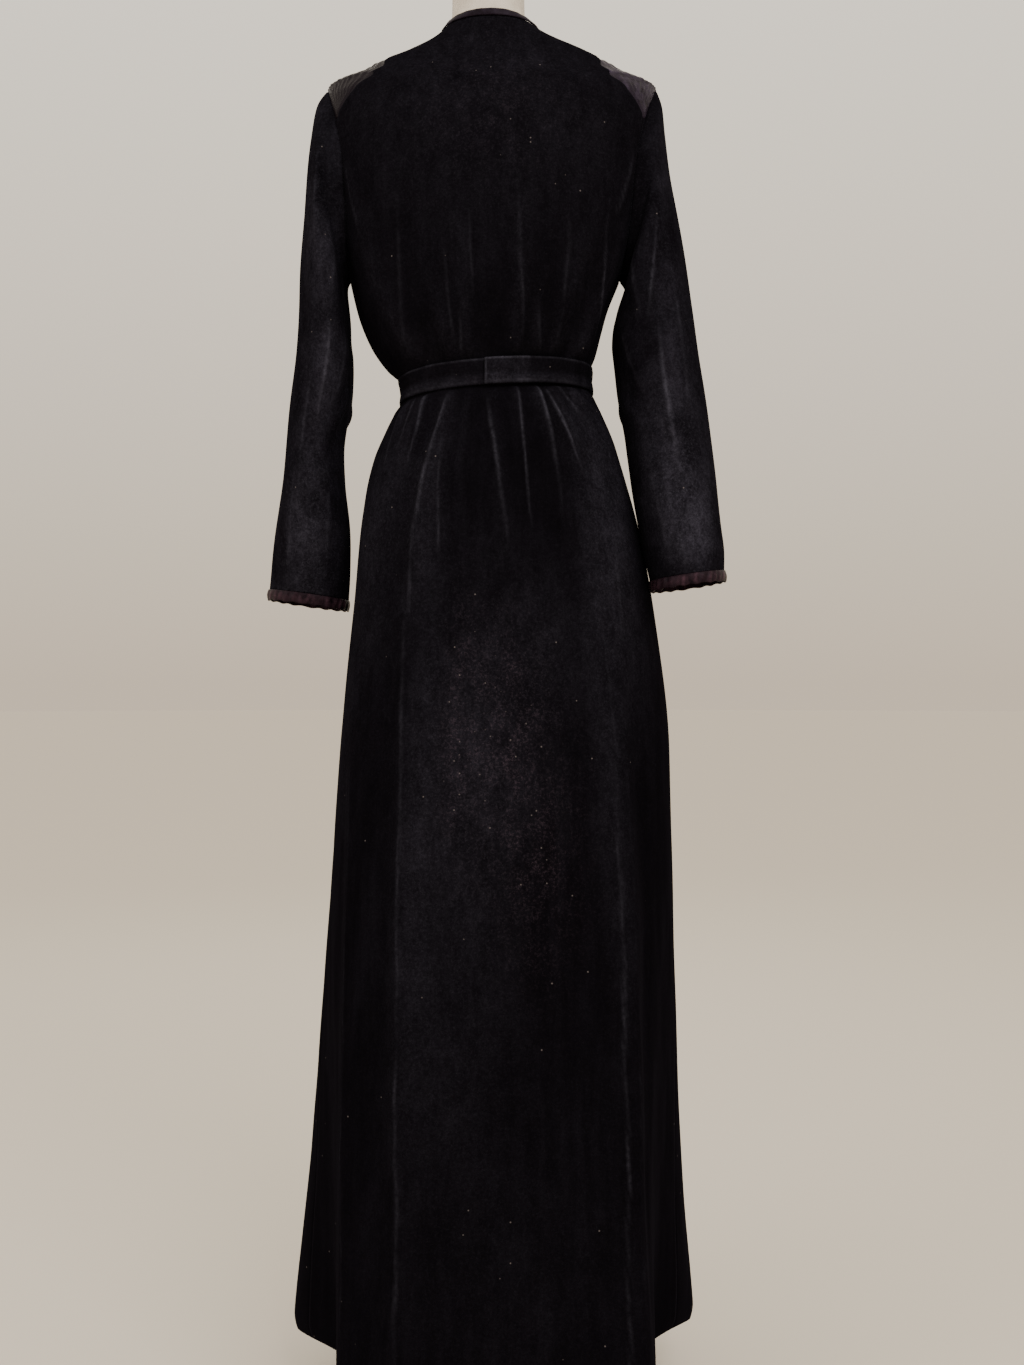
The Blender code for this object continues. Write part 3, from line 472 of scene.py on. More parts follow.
def tuck(share, width, depth=TUCK):
    """Cloth sinks a little along both sewn edges of a piece that is this wide."""
    away = np.minimum(share, 1 - share) * width
    return -depth * (1 - soft_step(away / TUCK_REACH))


def node(tree, kind, links=None, **settings):
    """A shader node with its settings, values and links."""
    made = tree.nodes.new(kind)
    for name, value in settings.items():
        setattr(made, name, value)
    for socket, value in (links or {}).items():
        if isinstance(value, bpy.types.NodeSocket):
            tree.links.new(value, made.inputs[socket])
        else:
            made.inputs[socket].default_value = value
    return made


def ramp(tree, value, low, high):
    """Turns a value between two limits into 0 to 1."""
    made = node(tree, "ShaderNodeMapRange", {"Value": value, "From Min": low, "From Max": high}, clamp=True)
    return made.outputs["Result"]


def blend(tree, share, first, second):
    """Mixes two colours or values."""
    made = node(tree, "ShaderNodeMix", {"Factor": share}, data_type="RGBA", clamp_factor=True)
    for socket, value in ((6, first), (7, second)):
        if isinstance(value, bpy.types.NodeSocket):
            tree.links.new(value, made.inputs[socket])
        else:
            made.inputs[socket].default_value = (*value, 1)
    return made.outputs[2]


def times(tree, first, second):
    """Multiplies two values."""
    made = node(tree, "ShaderNodeMath", {0: first, 1: second}, operation="MULTIPLY")
    return made.outputs[0]


def noise(tree, place, scale, detail, roughness=0.5):
    """A noise from 0 to 1."""
    values = {"Vector": place, "Scale": scale, "Detail": detail, "Roughness": roughness}
    return node(tree, "ShaderNodeTexNoise", values).outputs["Fac"]


def mark(tree, name):
    """A value that the mesh carries."""
    return node(tree, "ShaderNodeAttribute", attribute_name=name).outputs["Fac"]


def relief(tree, height, strength, distance, under=None):
    """The normal of a fine relief, on top of a coarser one if there is one."""
    values = {"Height": height, "Strength": strength, "Distance": distance}
    if under:
        values["Normal"] = under
    return node(tree, "ShaderNodeBump", values).outputs["Normal"]


def new_material(name):
    """A material, its node tree, its shader and the place on the object."""
    material = bpy.data.materials.new(name)
    material.use_nodes = True
    tree = material.node_tree
    place = node(tree, "ShaderNodeTexCoord").outputs["Object"]
    return material, tree, tree.nodes["Principled BSDF"], place


PILE_SCALE, TUFT_SCALE, MOTTLE_SCALE, PATCH_SCALE = 560, 210, 64, 20
STREAK_SCALE, CLOUD_SCALE, FLECK_SCALE, LINT_SCALE = 62, 6, 330, 190
LINT_FROM, LINT_WORN = 0.993, 0.08
# The pile's colours: the nap colour also serves as painted sheen, and the line colour as painted highlight
# and for lint flecks.
VELVET_DEEP = (0.0024, 0.0020, 0.0029)
VELVET_NAP_SHEEN = (0.0262, 0.0244, 0.0350)
VELVET_HIGHLIGHT_AND_FLECK = (0.0560, 0.0545, 0.0740)
VELVET_WORN = (0.0470, 0.0310, 0.0430)
LINT = (0.22, 0.19, 0.19)


def velvet(name, crush, lean=(0.0, 0.0)):
    """Black pile: deep where it stands, bluish where brushed over and under painted sheen and highlights,
    dusty where worn.
    """
    material, tree, shader, place = new_material(name)
    shader.inputs["Roughness"].default_value = 0.95
    shader.inputs["Specular IOR Level"].default_value = 0.0
    shader.inputs["Sheen Weight"].default_value = 0.012
    shader.inputs["Sheen Roughness"].default_value = 0.35
    shader.inputs["Sheen Tint"].default_value = (0.62, 0.58, 0.78, 1)
    fall = {"Vector": place, "Scale": (1, 1, 0.10), "Rotation": (*lean, 0)}
    long_way = node(tree, "ShaderNodeMapping", fall).outputs["Vector"]
    upright = node(tree, "ShaderNodeMapping", {"Vector": place, "Scale": (1, 1, 0.6)}).outputs["Vector"]
    pile = noise(tree, place, PILE_SCALE, 2, 0.75)
    tufts = noise(tree, place, TUFT_SCALE, 4, 0.75)
    mottle = noise(tree, upright, MOTTLE_SCALE, 6, 0.72)
    streaks = ramp(tree, noise(tree, long_way, STREAK_SCALE, 5, 0.62), 0.42, 0.70)
    clouds = ramp(tree, noise(tree, place, CLOUD_SCALE, 4, 0.6), 0.30, 0.70)
    patches = noise(tree, upright, PATCH_SCALE, 5, 0.62)
    reach = {"Value": patches, "From Min": 0.36, "From Max": 0.66, "To Min": crush[0], "To Max": crush[1]}
    crushed = node(tree, "ShaderNodeMapRange", reach, clamp=True).outputs["Result"]

    # the nap lies over in broad, mottled areas and long faint streaks; painted sheen also lightens the broad
    # areas
    nap_and_sheen = mark(tree, "nap_and_sheen")
    grain = times(tree, ramp(tree, pile, 0.0, 0.85), ramp(tree, tufts, 0.05, 0.80))
    brushed = times(tree, times(tree, nap_and_sheen, ramp(tree, mottle, 0.16, 0.78)), grain)
    colour = blend(tree, times(tree, brushed, crushed), VELVET_DEEP, VELVET_NAP_SHEEN)
    faint = times(tree, times(tree, streaks, clouds), ramp(tree, pile, 0.1, 0.9))
    colour = blend(tree, times(tree, faint, 0.20), colour, VELVET_NAP_SHEEN)

    # painted highlights: thin lines of light along the ridges
    painted_light = mark(tree, "painted_light")
    broken = times(tree, ramp(tree, tufts, 0.15, 0.65), ramp(tree, mottle, 0.10, 0.60))
    broken = times(tree, broken, ramp(tree, patches, 0.26, 0.56))
    colour = blend(tree, times(tree, painted_light, broken), colour, VELVET_HIGHLIGHT_AND_FLECK)

    # worn, dusty cloth and single specks of lint
    worn = mark(tree, "worn")
    flecks = ramp(tree, noise(tree, place, FLECK_SCALE, 3, 0.85), 0.50, 0.72)
    dusty = times(tree, ramp(tree, mottle, 0.38, 0.66), times(tree, flecks, 0.9))
    colour = blend(tree, times(tree, worn, dusty), colour, VELVET_WORN)
    colour = blend(tree, times(tree, times(tree, nap_and_sheen, flecks), 0.28), colour, VELVET_HIGHLIGHT_AND_FLECK)
    specks = node(tree, "ShaderNodeTexVoronoi", {"Vector": place, "Scale": LINT_SCALE})
    chosen = node(tree, "ShaderNodeSeparateColor", {"Color": specks.outputs["Color"]}).outputs["Red"]
    less = times(tree, worn, LINT_WORN)
    rare = node(tree, "ShaderNodeMath", {0: LINT_FROM, 1: less}, operation="SUBTRACT").outputs[0]
    picked = node(tree, "ShaderNodeMath", {0: chosen, 1: rare}, operation="GREATER_THAN").outputs[0]
    dot = times(tree, ramp(tree, specks.outputs["Distance"], 0.20, 0.08), picked)
    colour = blend(tree, times(tree, dot, 0.45), colour, LINT)
    tree.links.new(colour, shader.inputs["Base Color"])
    tree.links.new(relief(tree, pile, 0.35, 0.0006), shader.inputs["Normal"])
    return material


# Width of the painted highlight lines, and the fold height at which gathers get their full painted highlight.
LINE_WIDTH = 0.0015
GATHER_FULL = 0.006
PANEL_NAP_AND_SHEEN, GATHER_HIGHLIGHT = 0.06, 0.22
# Broad areas of brushed nap, lightened by painted sheen, then areas where it is worn: angle and height of the
# middle, half width in degrees, half height in metres and strength. More than one can lie over a place, up to
# a limit.
AREA_LIMIT = 1.3
NAP_COLUMNS = ("angle", "height", "wide", "high", "strength")
NAP_AND_SHEEN_AREAS = (
    (0, 1.470, 85, 0.190, 0.30),
    (-62, 1.060, 16, 0.090, 0.55),
    (-56, 0.930, 12, 0.130, 0.60),
    (-46, 0.700, 6, 0.200, 0.35),
    (62, 1.000, 18, 0.130, 0.50),
    (72, 0.800, 12, 0.160, 0.25),
    (33, 1.020, 10, 0.120, 0.30),
    (-26, 0.860, 12, 0.070, 0.30),
    (4, 0.760, 26, 0.150, 0.62),
    (28, 0.640, 7, 0.240, 0.35),
    (12, 0.500, 18, 0.170, 0.25),
    (-10, 0.240, 40, 0.200, 0.12),
    (-150, 1.050, 30, 0.200, 0.55),
    (150, 0.900, 30, 0.260, 0.55),
    (-168, 0.620, 22, 0.220, 0.40),
    (128, 0.420, 14, 0.260, 0.30),
    (130, 1.380, 30, 0.120, 0.45),
    (-130, 1.380, 30, 0.120, 0.45),
)
WORN_AREAS = (
    (-4, 0.790, 15, 0.080, 0.9),
    (-14, 0.700, 16, 0.110, 0.7),
    (13, 0.765, 7, 0.100, 1.1),
    (-18, 0.610, 14, 0.090, 0.4),
    (-4, 1.440, 40, 0.080, 0.25),
)


def areas(table, angle, height):
    """The sum of soft oval areas."""
    light = 0.0
    for area in table:
        row = dict(zip(NAP_COLUMNS, area))
        away = (np.degrees(angle) - row["angle"] + 180) % 360 - 180
        far = (away / row["wide"]) ** 2 + ((height - row["height"]) / row["high"]) ** 2
        light = light + row["strength"] * np.exp(-far)
    return np.clip(light, 0, AREA_LIMIT)


def finish_velvet(piece, material, cad_node, thick=WALL):
    """What every velvet piece shares."""
    give_wall(piece, thick)
    piece.data.materials.append(material)
    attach(piece, "root")
    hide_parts(cad_node)


def panel_piece(name, cad_node, columns, low_edge, high_edge, lift=lambda angle, height: 0.0):
    """A velvet panel between two edges, each an angle for every height."""
    rows = len(PANEL_ROWS) - 1
    kept = {}

    def place(column, row):
        height = PANEL_ROWS[row]
        low, high = low_edge(height), high_edge(height)
        reach = radius(low, height)
        low, high = low + SEAM_GAP / 2 / reach, high - SEAM_GAP / 2 / reach
        share = column / columns
        angle = low + (high - low) * share
        # painted highlight lines along the creases' ridges
        kept["painted_light"] = line_rise(angle, height, LINE_WIDTH)
        # painted sheen: the nap is painted lighter on gathered folds and in the broad areas
        gathered = np.clip(fold_rise(angle, height, FOLDS[SKIRT_FOLDS:]) / GATHER_FULL, 0, 1)
        kept["nap_and_sheen"] = PANEL_NAP_AND_SHEEN + GATHER_HIGHLIGHT * gathered + areas(NAP_AND_SHEEN_AREAS, angle, height)
        kept["worn"] = areas(WORN_AREAS, angle, height)
        depth = TUCK * (0.25 + 0.75 * soft_step((height - 1.2) / 0.05))
        return cloth_point(angle, height, lift(angle, height) + tuck(share, (high - low) * reach, depth))

    piece = grid_piece(name, columns, rows, place, outward=False, marks=kept)
    finish_velvet(piece, velvet_body, cad_node)
    return piece


BACK_COLUMNS = 216
velvet_body = velvet("velvet_body", (1.3, 2.6))
back = panel_piece(
    "robe_back",
    "back_panel",
    BACK_COLUMNS,
    lambda height: side_edge(-1, 1, height),
    lambda height: side_edge(1, 1, height),
)

# Fronts
# Two more lengths of the same velvet, each cut in one from shoulder to hem, with a V neckline. The right
# front laps over the left by the width of a hand and the belt holds both.
FRONT_COLUMNS = 96
LAP_LIFT = 0.0032
LAP_RAMP = 0.02
# Height, and how far the edge stops short of the middle of the front; below 0 it lies past the middle.
FRONT_EDGE = (
    (0.042, -0.062),
    (0.900, -0.058),
    (1.170, -0.052),
    (1.320, -0.036),
    (1.400, -0.016),
    (1.440, 0.000),
    (1.500, 0.026),
    (1.530, 0.037),
    (1.5475, 0.0455),
)
lapped_edge = reading(FRONT_EDGE, 1)


def front_edge(side, height):
    """Angle where the front panel of one side ends at the lapped front."""
    x = side * lapped_edge(height)
    wide = np.where(x > 0, body_shape["left"](height), body_shape["right"](height))
    power = body_shape["power"](height)
    share = np.minimum(1.0, np.abs(x) / wide)
    y = -body_shape["front"](height) * (1 - share**power) ** (1 / power)
    return side * (np.arctan2(side * x, y) % (2 * math.pi))


def lap_lift(angle, height):
    """The right front rises over the edge of the left front."""
    under = front_edge(1, height) - 2 * math.pi
    climb = LAP_RAMP / radius(angle, height)
    return LAP_LIFT * soft_step((under + 2 * climb - angle) / climb)


front_left = panel_piece(
    "robe_front_left",
    "front_left",
    FRONT_COLUMNS,
    lambda height: side_edge(1, -1, height),
    lambda height: front_edge(1, height),
)
front_right = panel_piece(
    "robe_front_right",
    "front_right",
    FRONT_COLUMNS,
    lambda height: front_edge(-1, height),
    lambda height: side_edge(-1, -1, height),
    lap_lift,
)

# Shoulder insets
# Wedges of purple-black satin over each shoulder, crinkled into fine ribs that run from back to front, sewn
# between the armhole and the slanting seams of the panels. The inset on the wearer's right is painted lighter
# as lit and the left one darker as shaded, and the ribs' crests carry painted highlights.
SATIN_DARK = (0.0046, 0.0028, 0.0046)
# The lighter satin colour below is a painted highlight.
SATIN_HIGHLIGHT = (0.0580, 0.0430, 0.0780)
CRINKLE_SCALE, WEAVE_SCALE = 120, 900
RIB_COUNT, RIB_COLUMNS = 9, 8
RIB_RISE = 0.0009
INSET_ROWS = 110
INSET_WALL = 0.0009
PAINTED_SHADE_INSET, PAINTED_LIT_INSET = 0.05, 0.76


def satin(name, highlight_colour):
    """Thin satin with a soft shine, and a painted highlight that lightens the crests of its crinkles."""
    material, tree, shader, place = new_material(name)
    shader.inputs["Specular IOR Level"].default_value = 0.07
    shader.inputs["Specular Tint"].default_value = (0.90, 0.78, 0.92, 1)
    shader.inputs["Sheen Weight"].default_value = 0.02
    shader.inputs["Sheen Roughness"].default_value = 0.3
    shader.inputs["Sheen Tint"].default_value = (0.50, 0.45, 0.50, 1)
    crinkle = noise(tree, place, CRINKLE_SCALE, 5, 0.6)
    weave = noise(tree, place, WEAVE_SCALE, 2)
    # painted highlight on the crinkles' crests, as strong as the mesh's painted light mark
    light = times(tree, ramp(tree, crinkle, 0.3, 0.75), mark(tree, "painted_light"))
    tree.links.new(blend(tree, light, SATIN_DARK, highlight_colour), shader.inputs["Base Color"])
    rough = node(tree, "ShaderNodeMapRange", {"Value": crinkle, "To Min": 0.34, "To Max": 0.56})
    tree.links.new(rough.outputs["Result"], shader.inputs["Roughness"])
    crumpled = relief(tree, crinkle, 0.5, 0.0012)
    tree.links.new(relief(tree, weave, 0.15, 0.0002, crumpled), shader.inputs["Normal"])
    return material


def finish_satin(piece, material, cad_node, thick):
    """What every satin piece shares."""
    give_wall(piece, thick)
    piece.data.materials.append(material)
    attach(piece, "root")
    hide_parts(cad_node)


def inset(side):
    """One ribbed wedge, between the armhole and the slanting seams."""
    name = "inset_left" if side > 0 else "inset_right"
    columns, rows = RIB_COLUMNS * RIB_COUNT, INSET_ROWS
    foot_turn = math.acos((YOKE_FOOT + SEAM_GAP - ARMHOLE_MIDDLE) / ARMHOLE_HALF)
    seam_steps = [seam[0] for seam in YOKE_SEAM]
    kept = {}

    def place(column, row):
        turn = foot_turn * (1 - 2 * row / rows)
        climb = 1 - np.abs(1 - 2 * row / rows)
        seam_height = np.interp(climb * (len(seam_steps) - 1), range(len(seam_steps)), seam_steps)
        seam_y = yoke_seam(seam_height) * np.sign(turn + 1e-9)
        seam_height = np.maximum(seam_height, YOKE_FOOT + SEAM_GAP)
        hole_y = ARMHOLE_WIDE * np.sin(turn)
        hole_height = ARMHOLE_MIDDLE + ARMHOLE_HALF * np.cos(turn)
        width = np.hypot(seam_y - hole_y, seam_height - hole_height)
        gap = SEAM_GAP / width
        share = gap + (1 - 2 * gap) * column / columns
        y = hole_y + (seam_y - hole_y) * share
        height = hole_height + (seam_height - hole_height) * share
        sway = 0.035 * np.sin(9 * turn + 2 * side) + 0.02 * np.sin(23 * turn)
        wave = 0.5 + 0.5 * np.cos(2 * math.pi * (RIB_COUNT * (share + sway)))
        strength = soft_step(1.6 * climb) * (0.75 + 0.25 * np.sin(31 * turn + 17 * share))
        # painted light and shade: the wearer's right inset is painted as lit, the left as shaded, with
        # painted highlights on the rib crests
        tone = PAINTED_SHADE_INSET if side > 0 else PAINTED_LIT_INSET
        kept["painted_light"] = tone * (0.65 + 0.35 * wave * strength)
        lift = RIB_RISE * (wave * strength - 0.6) + tuck(share, width)
        angle = angle_at(side, y, height)
        return smooth_point(angle, height) + lift[..., None] * smooth_normal(angle, height)

    return grid_piece(name, columns, rows, place, outward=side > 0, marks=kept)


satin_cloth = satin("satin", SATIN_HIGHLIGHT)
inset_left = inset(1)
inset_right = inset(-1)
for piece, cad_node in ((inset_left, "yoke_left"), (inset_right, "yoke_right")):
    finish_satin(piece, satin_cloth, cad_node, INSET_WALL)

# Sleeves
# Long plain velvet sleeves set into the armholes, a little full at the head, bent at the elbow and hanging
# empty. Drag lines run down from the head and break across the elbow. Painted highlights run along the
# creases, and painted sheen lightens the nap, more on the left sleeve than on the right.
SLEEVE_STEP = 0.0004
SLEEVE_OUT = 0.0008
SLEEVE_LONG = 0.58
SLEEVE_COLUMNS, SLEEVE_ROWS = 176, 150
# Painted sheen: the nap's base lightness, higher on the left sleeve than on the right.
LEFT_NAP_AND_SHEEN, RIGHT_NAP_AND_SHEEN = 0.40, 0.28
# The seam's edge is turned under the panels, so that nothing shows through it.
HEAD_TURN_IN, HEAD_TURN_UNDER = 0.016, 0.0035
SLEEVE_RING = ("outer_x", "outer_z", "inner_x", "inner_z", "half_depth", "middle_y")
LEFT_SLEEVE = (
    (0.1951, 1.466, 0.1645, 1.261, 0.0580, 0.000),
    (0.2013, 1.432, 0.1635, 1.243, 0.0620, 0.001),
    (0.2059, 1.390, 0.1612, 1.222, 0.0650, 0.001),
    (0.2087, 1.340, 0.1596, 1.200, 0.0650, 0.000),
    (0.2127, 1.285, 0.1576, 1.178, 0.0640, -0.002),
    (0.2149, 1.235, 0.1584, 1.156, 0.0620, -0.004),
    (0.2192, 1.188, 0.1609, 1.134, 0.0600, -0.006),
    (0.2265, 1.135, 0.1665, 1.110, 0.0580, -0.009),
    (0.2315, 1.090, 0.1701, 1.084, 0.0560, -0.012),
    (0.2373, 1.040, 0.1684, 1.046, 0.0550, -0.016),
    (0.2461, 0.985, 0.1632, 0.995, 0.0530, -0.021),
    (0.2514, 0.948, 0.1635, 0.950, 0.0490, -0.025),
    (0.2541, 0.926, 0.1660, 0.914, 0.0460, -0.027),
)
RIGHT_SLEEVE = (
    (0.1905, 1.466, 0.1520, 1.261, 0.0570, 0.000),
    (0.1934, 1.432, 0.1455, 1.243, 0.0600, 0.001),
    (0.1984, 1.390, 0.1380, 1.222, 0.0650, 0.002),
    (0.2071, 1.340, 0.1362, 1.200, 0.0650, 0.004),
    (0.2152, 1.290, 0.1380, 1.178, 0.0640, 0.007),
    (0.2225, 1.240, 0.1405, 1.152, 0.0620, 0.011),
    (0.2287, 1.192, 0.1440, 1.126, 0.0600, 0.015),
    (0.2356, 1.140, 0.1480, 1.098, 0.0580, 0.020),
    (0.2412, 1.090, 0.1510, 1.068, 0.0560, 0.025),
    (0.2470, 1.040, 0.1562, 1.030, 0.0540, 0.031),
    (0.2512, 0.995, 0.1645, 0.985, 0.0520, 0.036),
    (0.2545, 0.965, 0.1705, 0.953, 0.0500, 0.040),
    (0.2540, 0.942, 0.1750, 0.931, 0.0480, 0.042),
)
# Creases on a sleeve: turn 0 is its outer line, 90 the back, 180 the inner line; along runs from 0 at the
# armhole to 1 at the binding. The first column is 1 for the left sleeve, -1 for the right, 0 for both. The
# last column is the strength of a painted highlight along the crease.
SLEEVE_CREASE_COLUMNS = ("sleeve", "turn_top", "top", "turn_foot", "foot", "rise", "spread", "light")
SLEEVE_CREASES = (
    (0, 118, 0.10, 112, 0.40, 0.0026, 12, 0.25),
    (0, 30, 0.30, 36, 0.72, 0.0022, 13, 0.0),
    (0, 128, 0.70, 118, 0.96, 0.0024, 12, 0.2),
    (1, 62, 0.03, 80, 0.34, 0.0030, 11, 0.35),
    (1, 108, 0.36, 104, 0.66, 0.0036, 9, 0.75),
    (1, 146, 0.28, 128, 0.60, 0.0030, 10, 0.35),
    (1, 178, 0.46, 124, 0.70, 0.0036, 11, 0.0),
    (1, 84, 0.50, 74, 0.82, 0.0024, 10, 0.30),
    (1, 62, 0.74, 66, 0.99, 0.0022, 11, 0.25),
    (-1, 66, 0.22, 106, 0.42, 0.0032, 9, 0.55),
    (-1, 92, 0.42, 90, 0.80, 0.0034, 9, 0.70),
    (-1, 58, 0.36, 68, 0.66, 0.0022, 11, 0.30),
    (-1, 150, 0.30, 118, 0.58, 0.0030, 11, 0.30),
    (-1, 178, 0.48, 116, 0.68, 0.0034, 11, 0.0),
    (-1, 108, 0.72, 98, 0.98, 0.0024, 11, 0.30),
    (0, -45, 0.06, -62, 0.40, 0.0030, 13, 0.4),
    (0, -150, 0.30, -100, 0.60, 0.0032, 12, 0.3),
    (0, -176, 0.52, -112, 0.66, 0.0034, 11, 0.0),
    (0, -85, 0.55, -80, 0.95, 0.0026, 13, 0.5),
    (0, -30, 0.50, -34, 0.90, 0.0022, 12, 0.2),
)
HEAD_PUCKERS = 15
# Brushed areas, lightened by painted sheen: turn and along of the middle, half widths and strength, as on the
# panels.
LEFT_SLEEVE_NAP_AND_SHEEN = (
    (96, 0.86, 34, 0.150, 0.88),
    (112, 0.50, 26, 0.180, 0.50),
    (80, 0.22, 40, 0.120, 0.42),
    (-80, 0.70, 40, 0.250, 0.50),
)
RIGHT_SLEEVE_NAP_AND_SHEEN = (
    (84, 0.86, 34, 0.120, 1.15),
    (92, 0.72, 36, 0.150, 0.80),
    (70, 0.40, 22, 0.200, 0.32),
    (60, 0.14, 30, 0.100, 0.10),
    (-80, 0.70, 40, 0.250, 0.50),
)


def armhole_point(side, turn):
    """The armhole, moved off the body; turn 0 is the shoulder tip."""
    y = ARMHOLE_WIDE * np.sin(turn) * side
    height = ARMHOLE_MIDDLE + ARMHOLE_HALF * np.cos(turn)
    return np.stack((side_x(side, y, height) + side * SLEEVE_STEP, y, height), axis=-1)


def sleeve_rings(side, turn):
    """Points of every ring of a sleeve at the given turns; ring 0 is the armhole."""
    rings = [armhole_point(side, turn)]
    for line in LEFT_SLEEVE if side > 0 else RIGHT_SLEEVE:
        row = dict(zip(SLEEVE_RING, line))
        outer = np.array((side * row["outer_x"], row["middle_y"], row["outer_z"]))
        inner = np.array((side * row["inner_x"], row["middle_y"], row["inner_z"]))
        depth = np.array((0.0, side * row["half_depth"], 0.0))
        across = np.cos(turn)[:, None] * (outer - inner) / 2
        rings.append((outer + inner) / 2 + across + np.sin(turn)[:, None] * depth)
    return np.array(rings)


def between(rings, along):
    """A smooth way through the rings, along from 0 to 1; returns one point list for each value of along."""
    spot = np.clip(along, 0, 1) * (len(rings) - 1)
    low = np.minimum(spot.astype(int), len(rings) - 2)
    t = (spot - low)[:, None, None]
    before, first = rings[np.maximum(low - 1, 0)], rings[low]
    second, after = rings[low + 1], rings[np.minimum(low + 2, len(rings) - 1)]
    return 0.5 * (
        2 * first
        + (second - before) * t
        + (2 * before - 5 * first + 4 * second - after) * t**2
        + (3 * first - before - 3 * second + after) * t**3
    )


def outward_of(points):
    """Directions out of a closed tube of points, rings first; the first and last column are the same line."""
    ring_way = np.roll(points[:, :-1], -1, axis=1) - np.roll(points[:, :-1], 1, axis=1)
    ring_way = np.concatenate((ring_way, ring_way[:, :1]), axis=1)
    down_way = np.gradient(points, axis=0)
    out = np.cross(ring_way, down_way)
    out /= np.maximum(np.linalg.norm(out, axis=-1, keepdims=True), 1e-9)
    centre = points[:, :-1].mean(axis=1, keepdims=True)
    return np.where(((points - centre) * out).sum(axis=-1, keepdims=True) < 0, -out, out)


def sleeve_relief(turn, along, side):
    """Creases and their painted highlight lines, then the puckers at the head and a slack hand, in metres."""
    degrees = np.degrees(turn) * side
    rise = np.zeros(np.broadcast(turn, along).shape)
    light = np.zeros(rise.shape)
    for crease in SLEEVE_CREASES:
        row = dict(zip(SLEEVE_CREASE_COLUMNS, crease))
        if row["sleeve"] not in (0, side):
            continue
        share = (along - row["top"]) / (row["foot"] - row["top"])
        level = np.sin(math.pi * np.clip(share, 0, 1)) ** 1.3
        sway = 1.2 * np.sin(17 * along + row["turn_top"])
        centre = row["turn_top"] + np.clip(share, 0, 1) * (row["turn_foot"] - row["turn_top"]) + sway
        away = (degrees - centre + 180) % 360 - 180
        rise += row["rise"] * level * np.exp(-((away / row["spread"]) ** 2))
        light = np.maximum(light, row["light"] * level * np.exp(-((away / 2.2) ** 2)))
    head = np.exp(-((along / 0.05) ** 2)) * np.exp(-((((degrees + 180) % 360 - 180) / 75) ** 2))
    puckers = 0.0009 * head * np.cos(HEAD_PUCKERS * turn + 0.8 * np.sin(3 * turn + side))
    slack = 0.0005 * np.sin(5 * turn + 14 * along + side) + 0.0003 * np.sin(9 * turn - 23 * along)
    return rise, light, puckers + slack * soft_step(along / 0.08)


def sleeve(side):
    """One sleeve as a tube through its rings."""
    name = "sleeve_tube_left" if side > 0 else "sleeve_tube_right"
    columns, rows = SLEEVE_COLUMNS, SLEEVE_ROWS
    turn = 2 * math.pi * np.arange(columns + 1) / columns
    along = np.concatenate(([0.0], np.arange(rows) / (rows - 1)))
    points = between(sleeve_rings(side, turn), along)
    crease, light, ease = sleeve_relief(turn[None, :], along[:, None], side)
    lift = SLEEVE_OUT * soft_step(along / 0.1) - TUCK * (1 - soft_step(along * SLEEVE_LONG / TUCK_REACH))
    points = points + (lift[:, None] + crease + ease)[..., None] * outward_of(points)
    middle = points[0, :-1].mean(axis=0)
    points[0] += (middle - points[0]) * HEAD_TURN_IN - np.array((side * HEAD_TURN_UNDER, 0, 0))
    kept = {"worn": 0.0}

    def place(column, row):
        step = column % columns
        nap_and_sheen = LEFT_SLEEVE_NAP_AND_SHEEN if side > 0 else RIGHT_SLEEVE_NAP_AND_SHEEN
        # painted highlights along the creases and painted sheen on the nap
        kept["painted_light"] = light[row, step]
        base = LEFT_NAP_AND_SHEEN if side > 0 else RIGHT_NAP_AND_SHEEN
        kept["nap_and_sheen"] = base + areas(nap_and_sheen, turn[step] * side, along[row])
        return points[row, step]

    piece = grid_piece(name, columns, rows, place, False, True, kept)
    finish_velvet(piece, velvet_sleeve, "sleeve_left" if side > 0 else "sleeve_right")
    return piece


velvet_sleeve = velvet("velvet_sleeve", (0.7, 3.4), lean=(0.0, 0.09))
sleeve_left = sleeve(1)
sleeve_right = sleeve(-1)

# Cuff bindings
# Bias strips of satin sewn round the sleeve ends and drawn up, so that they stand in small slanting gathers.
# Painted highlights and glints lie on the gathers' crests and bellies.
SATIN_CUFF_HIGHLIGHT = (0.0900, 0.0440, 0.0640)
CUFF_DEEP = 0.012
CUFF_GATHERS = 34
CUFF_COLUMNS, CUFF_ROWS = 8 * CUFF_GATHERS, 12
CUFF_LIFT, CUFF_BELLY, CUFF_PUCKER = 0.0016, 0.0012, 0.0011
BINDING_WALL = 0.0012


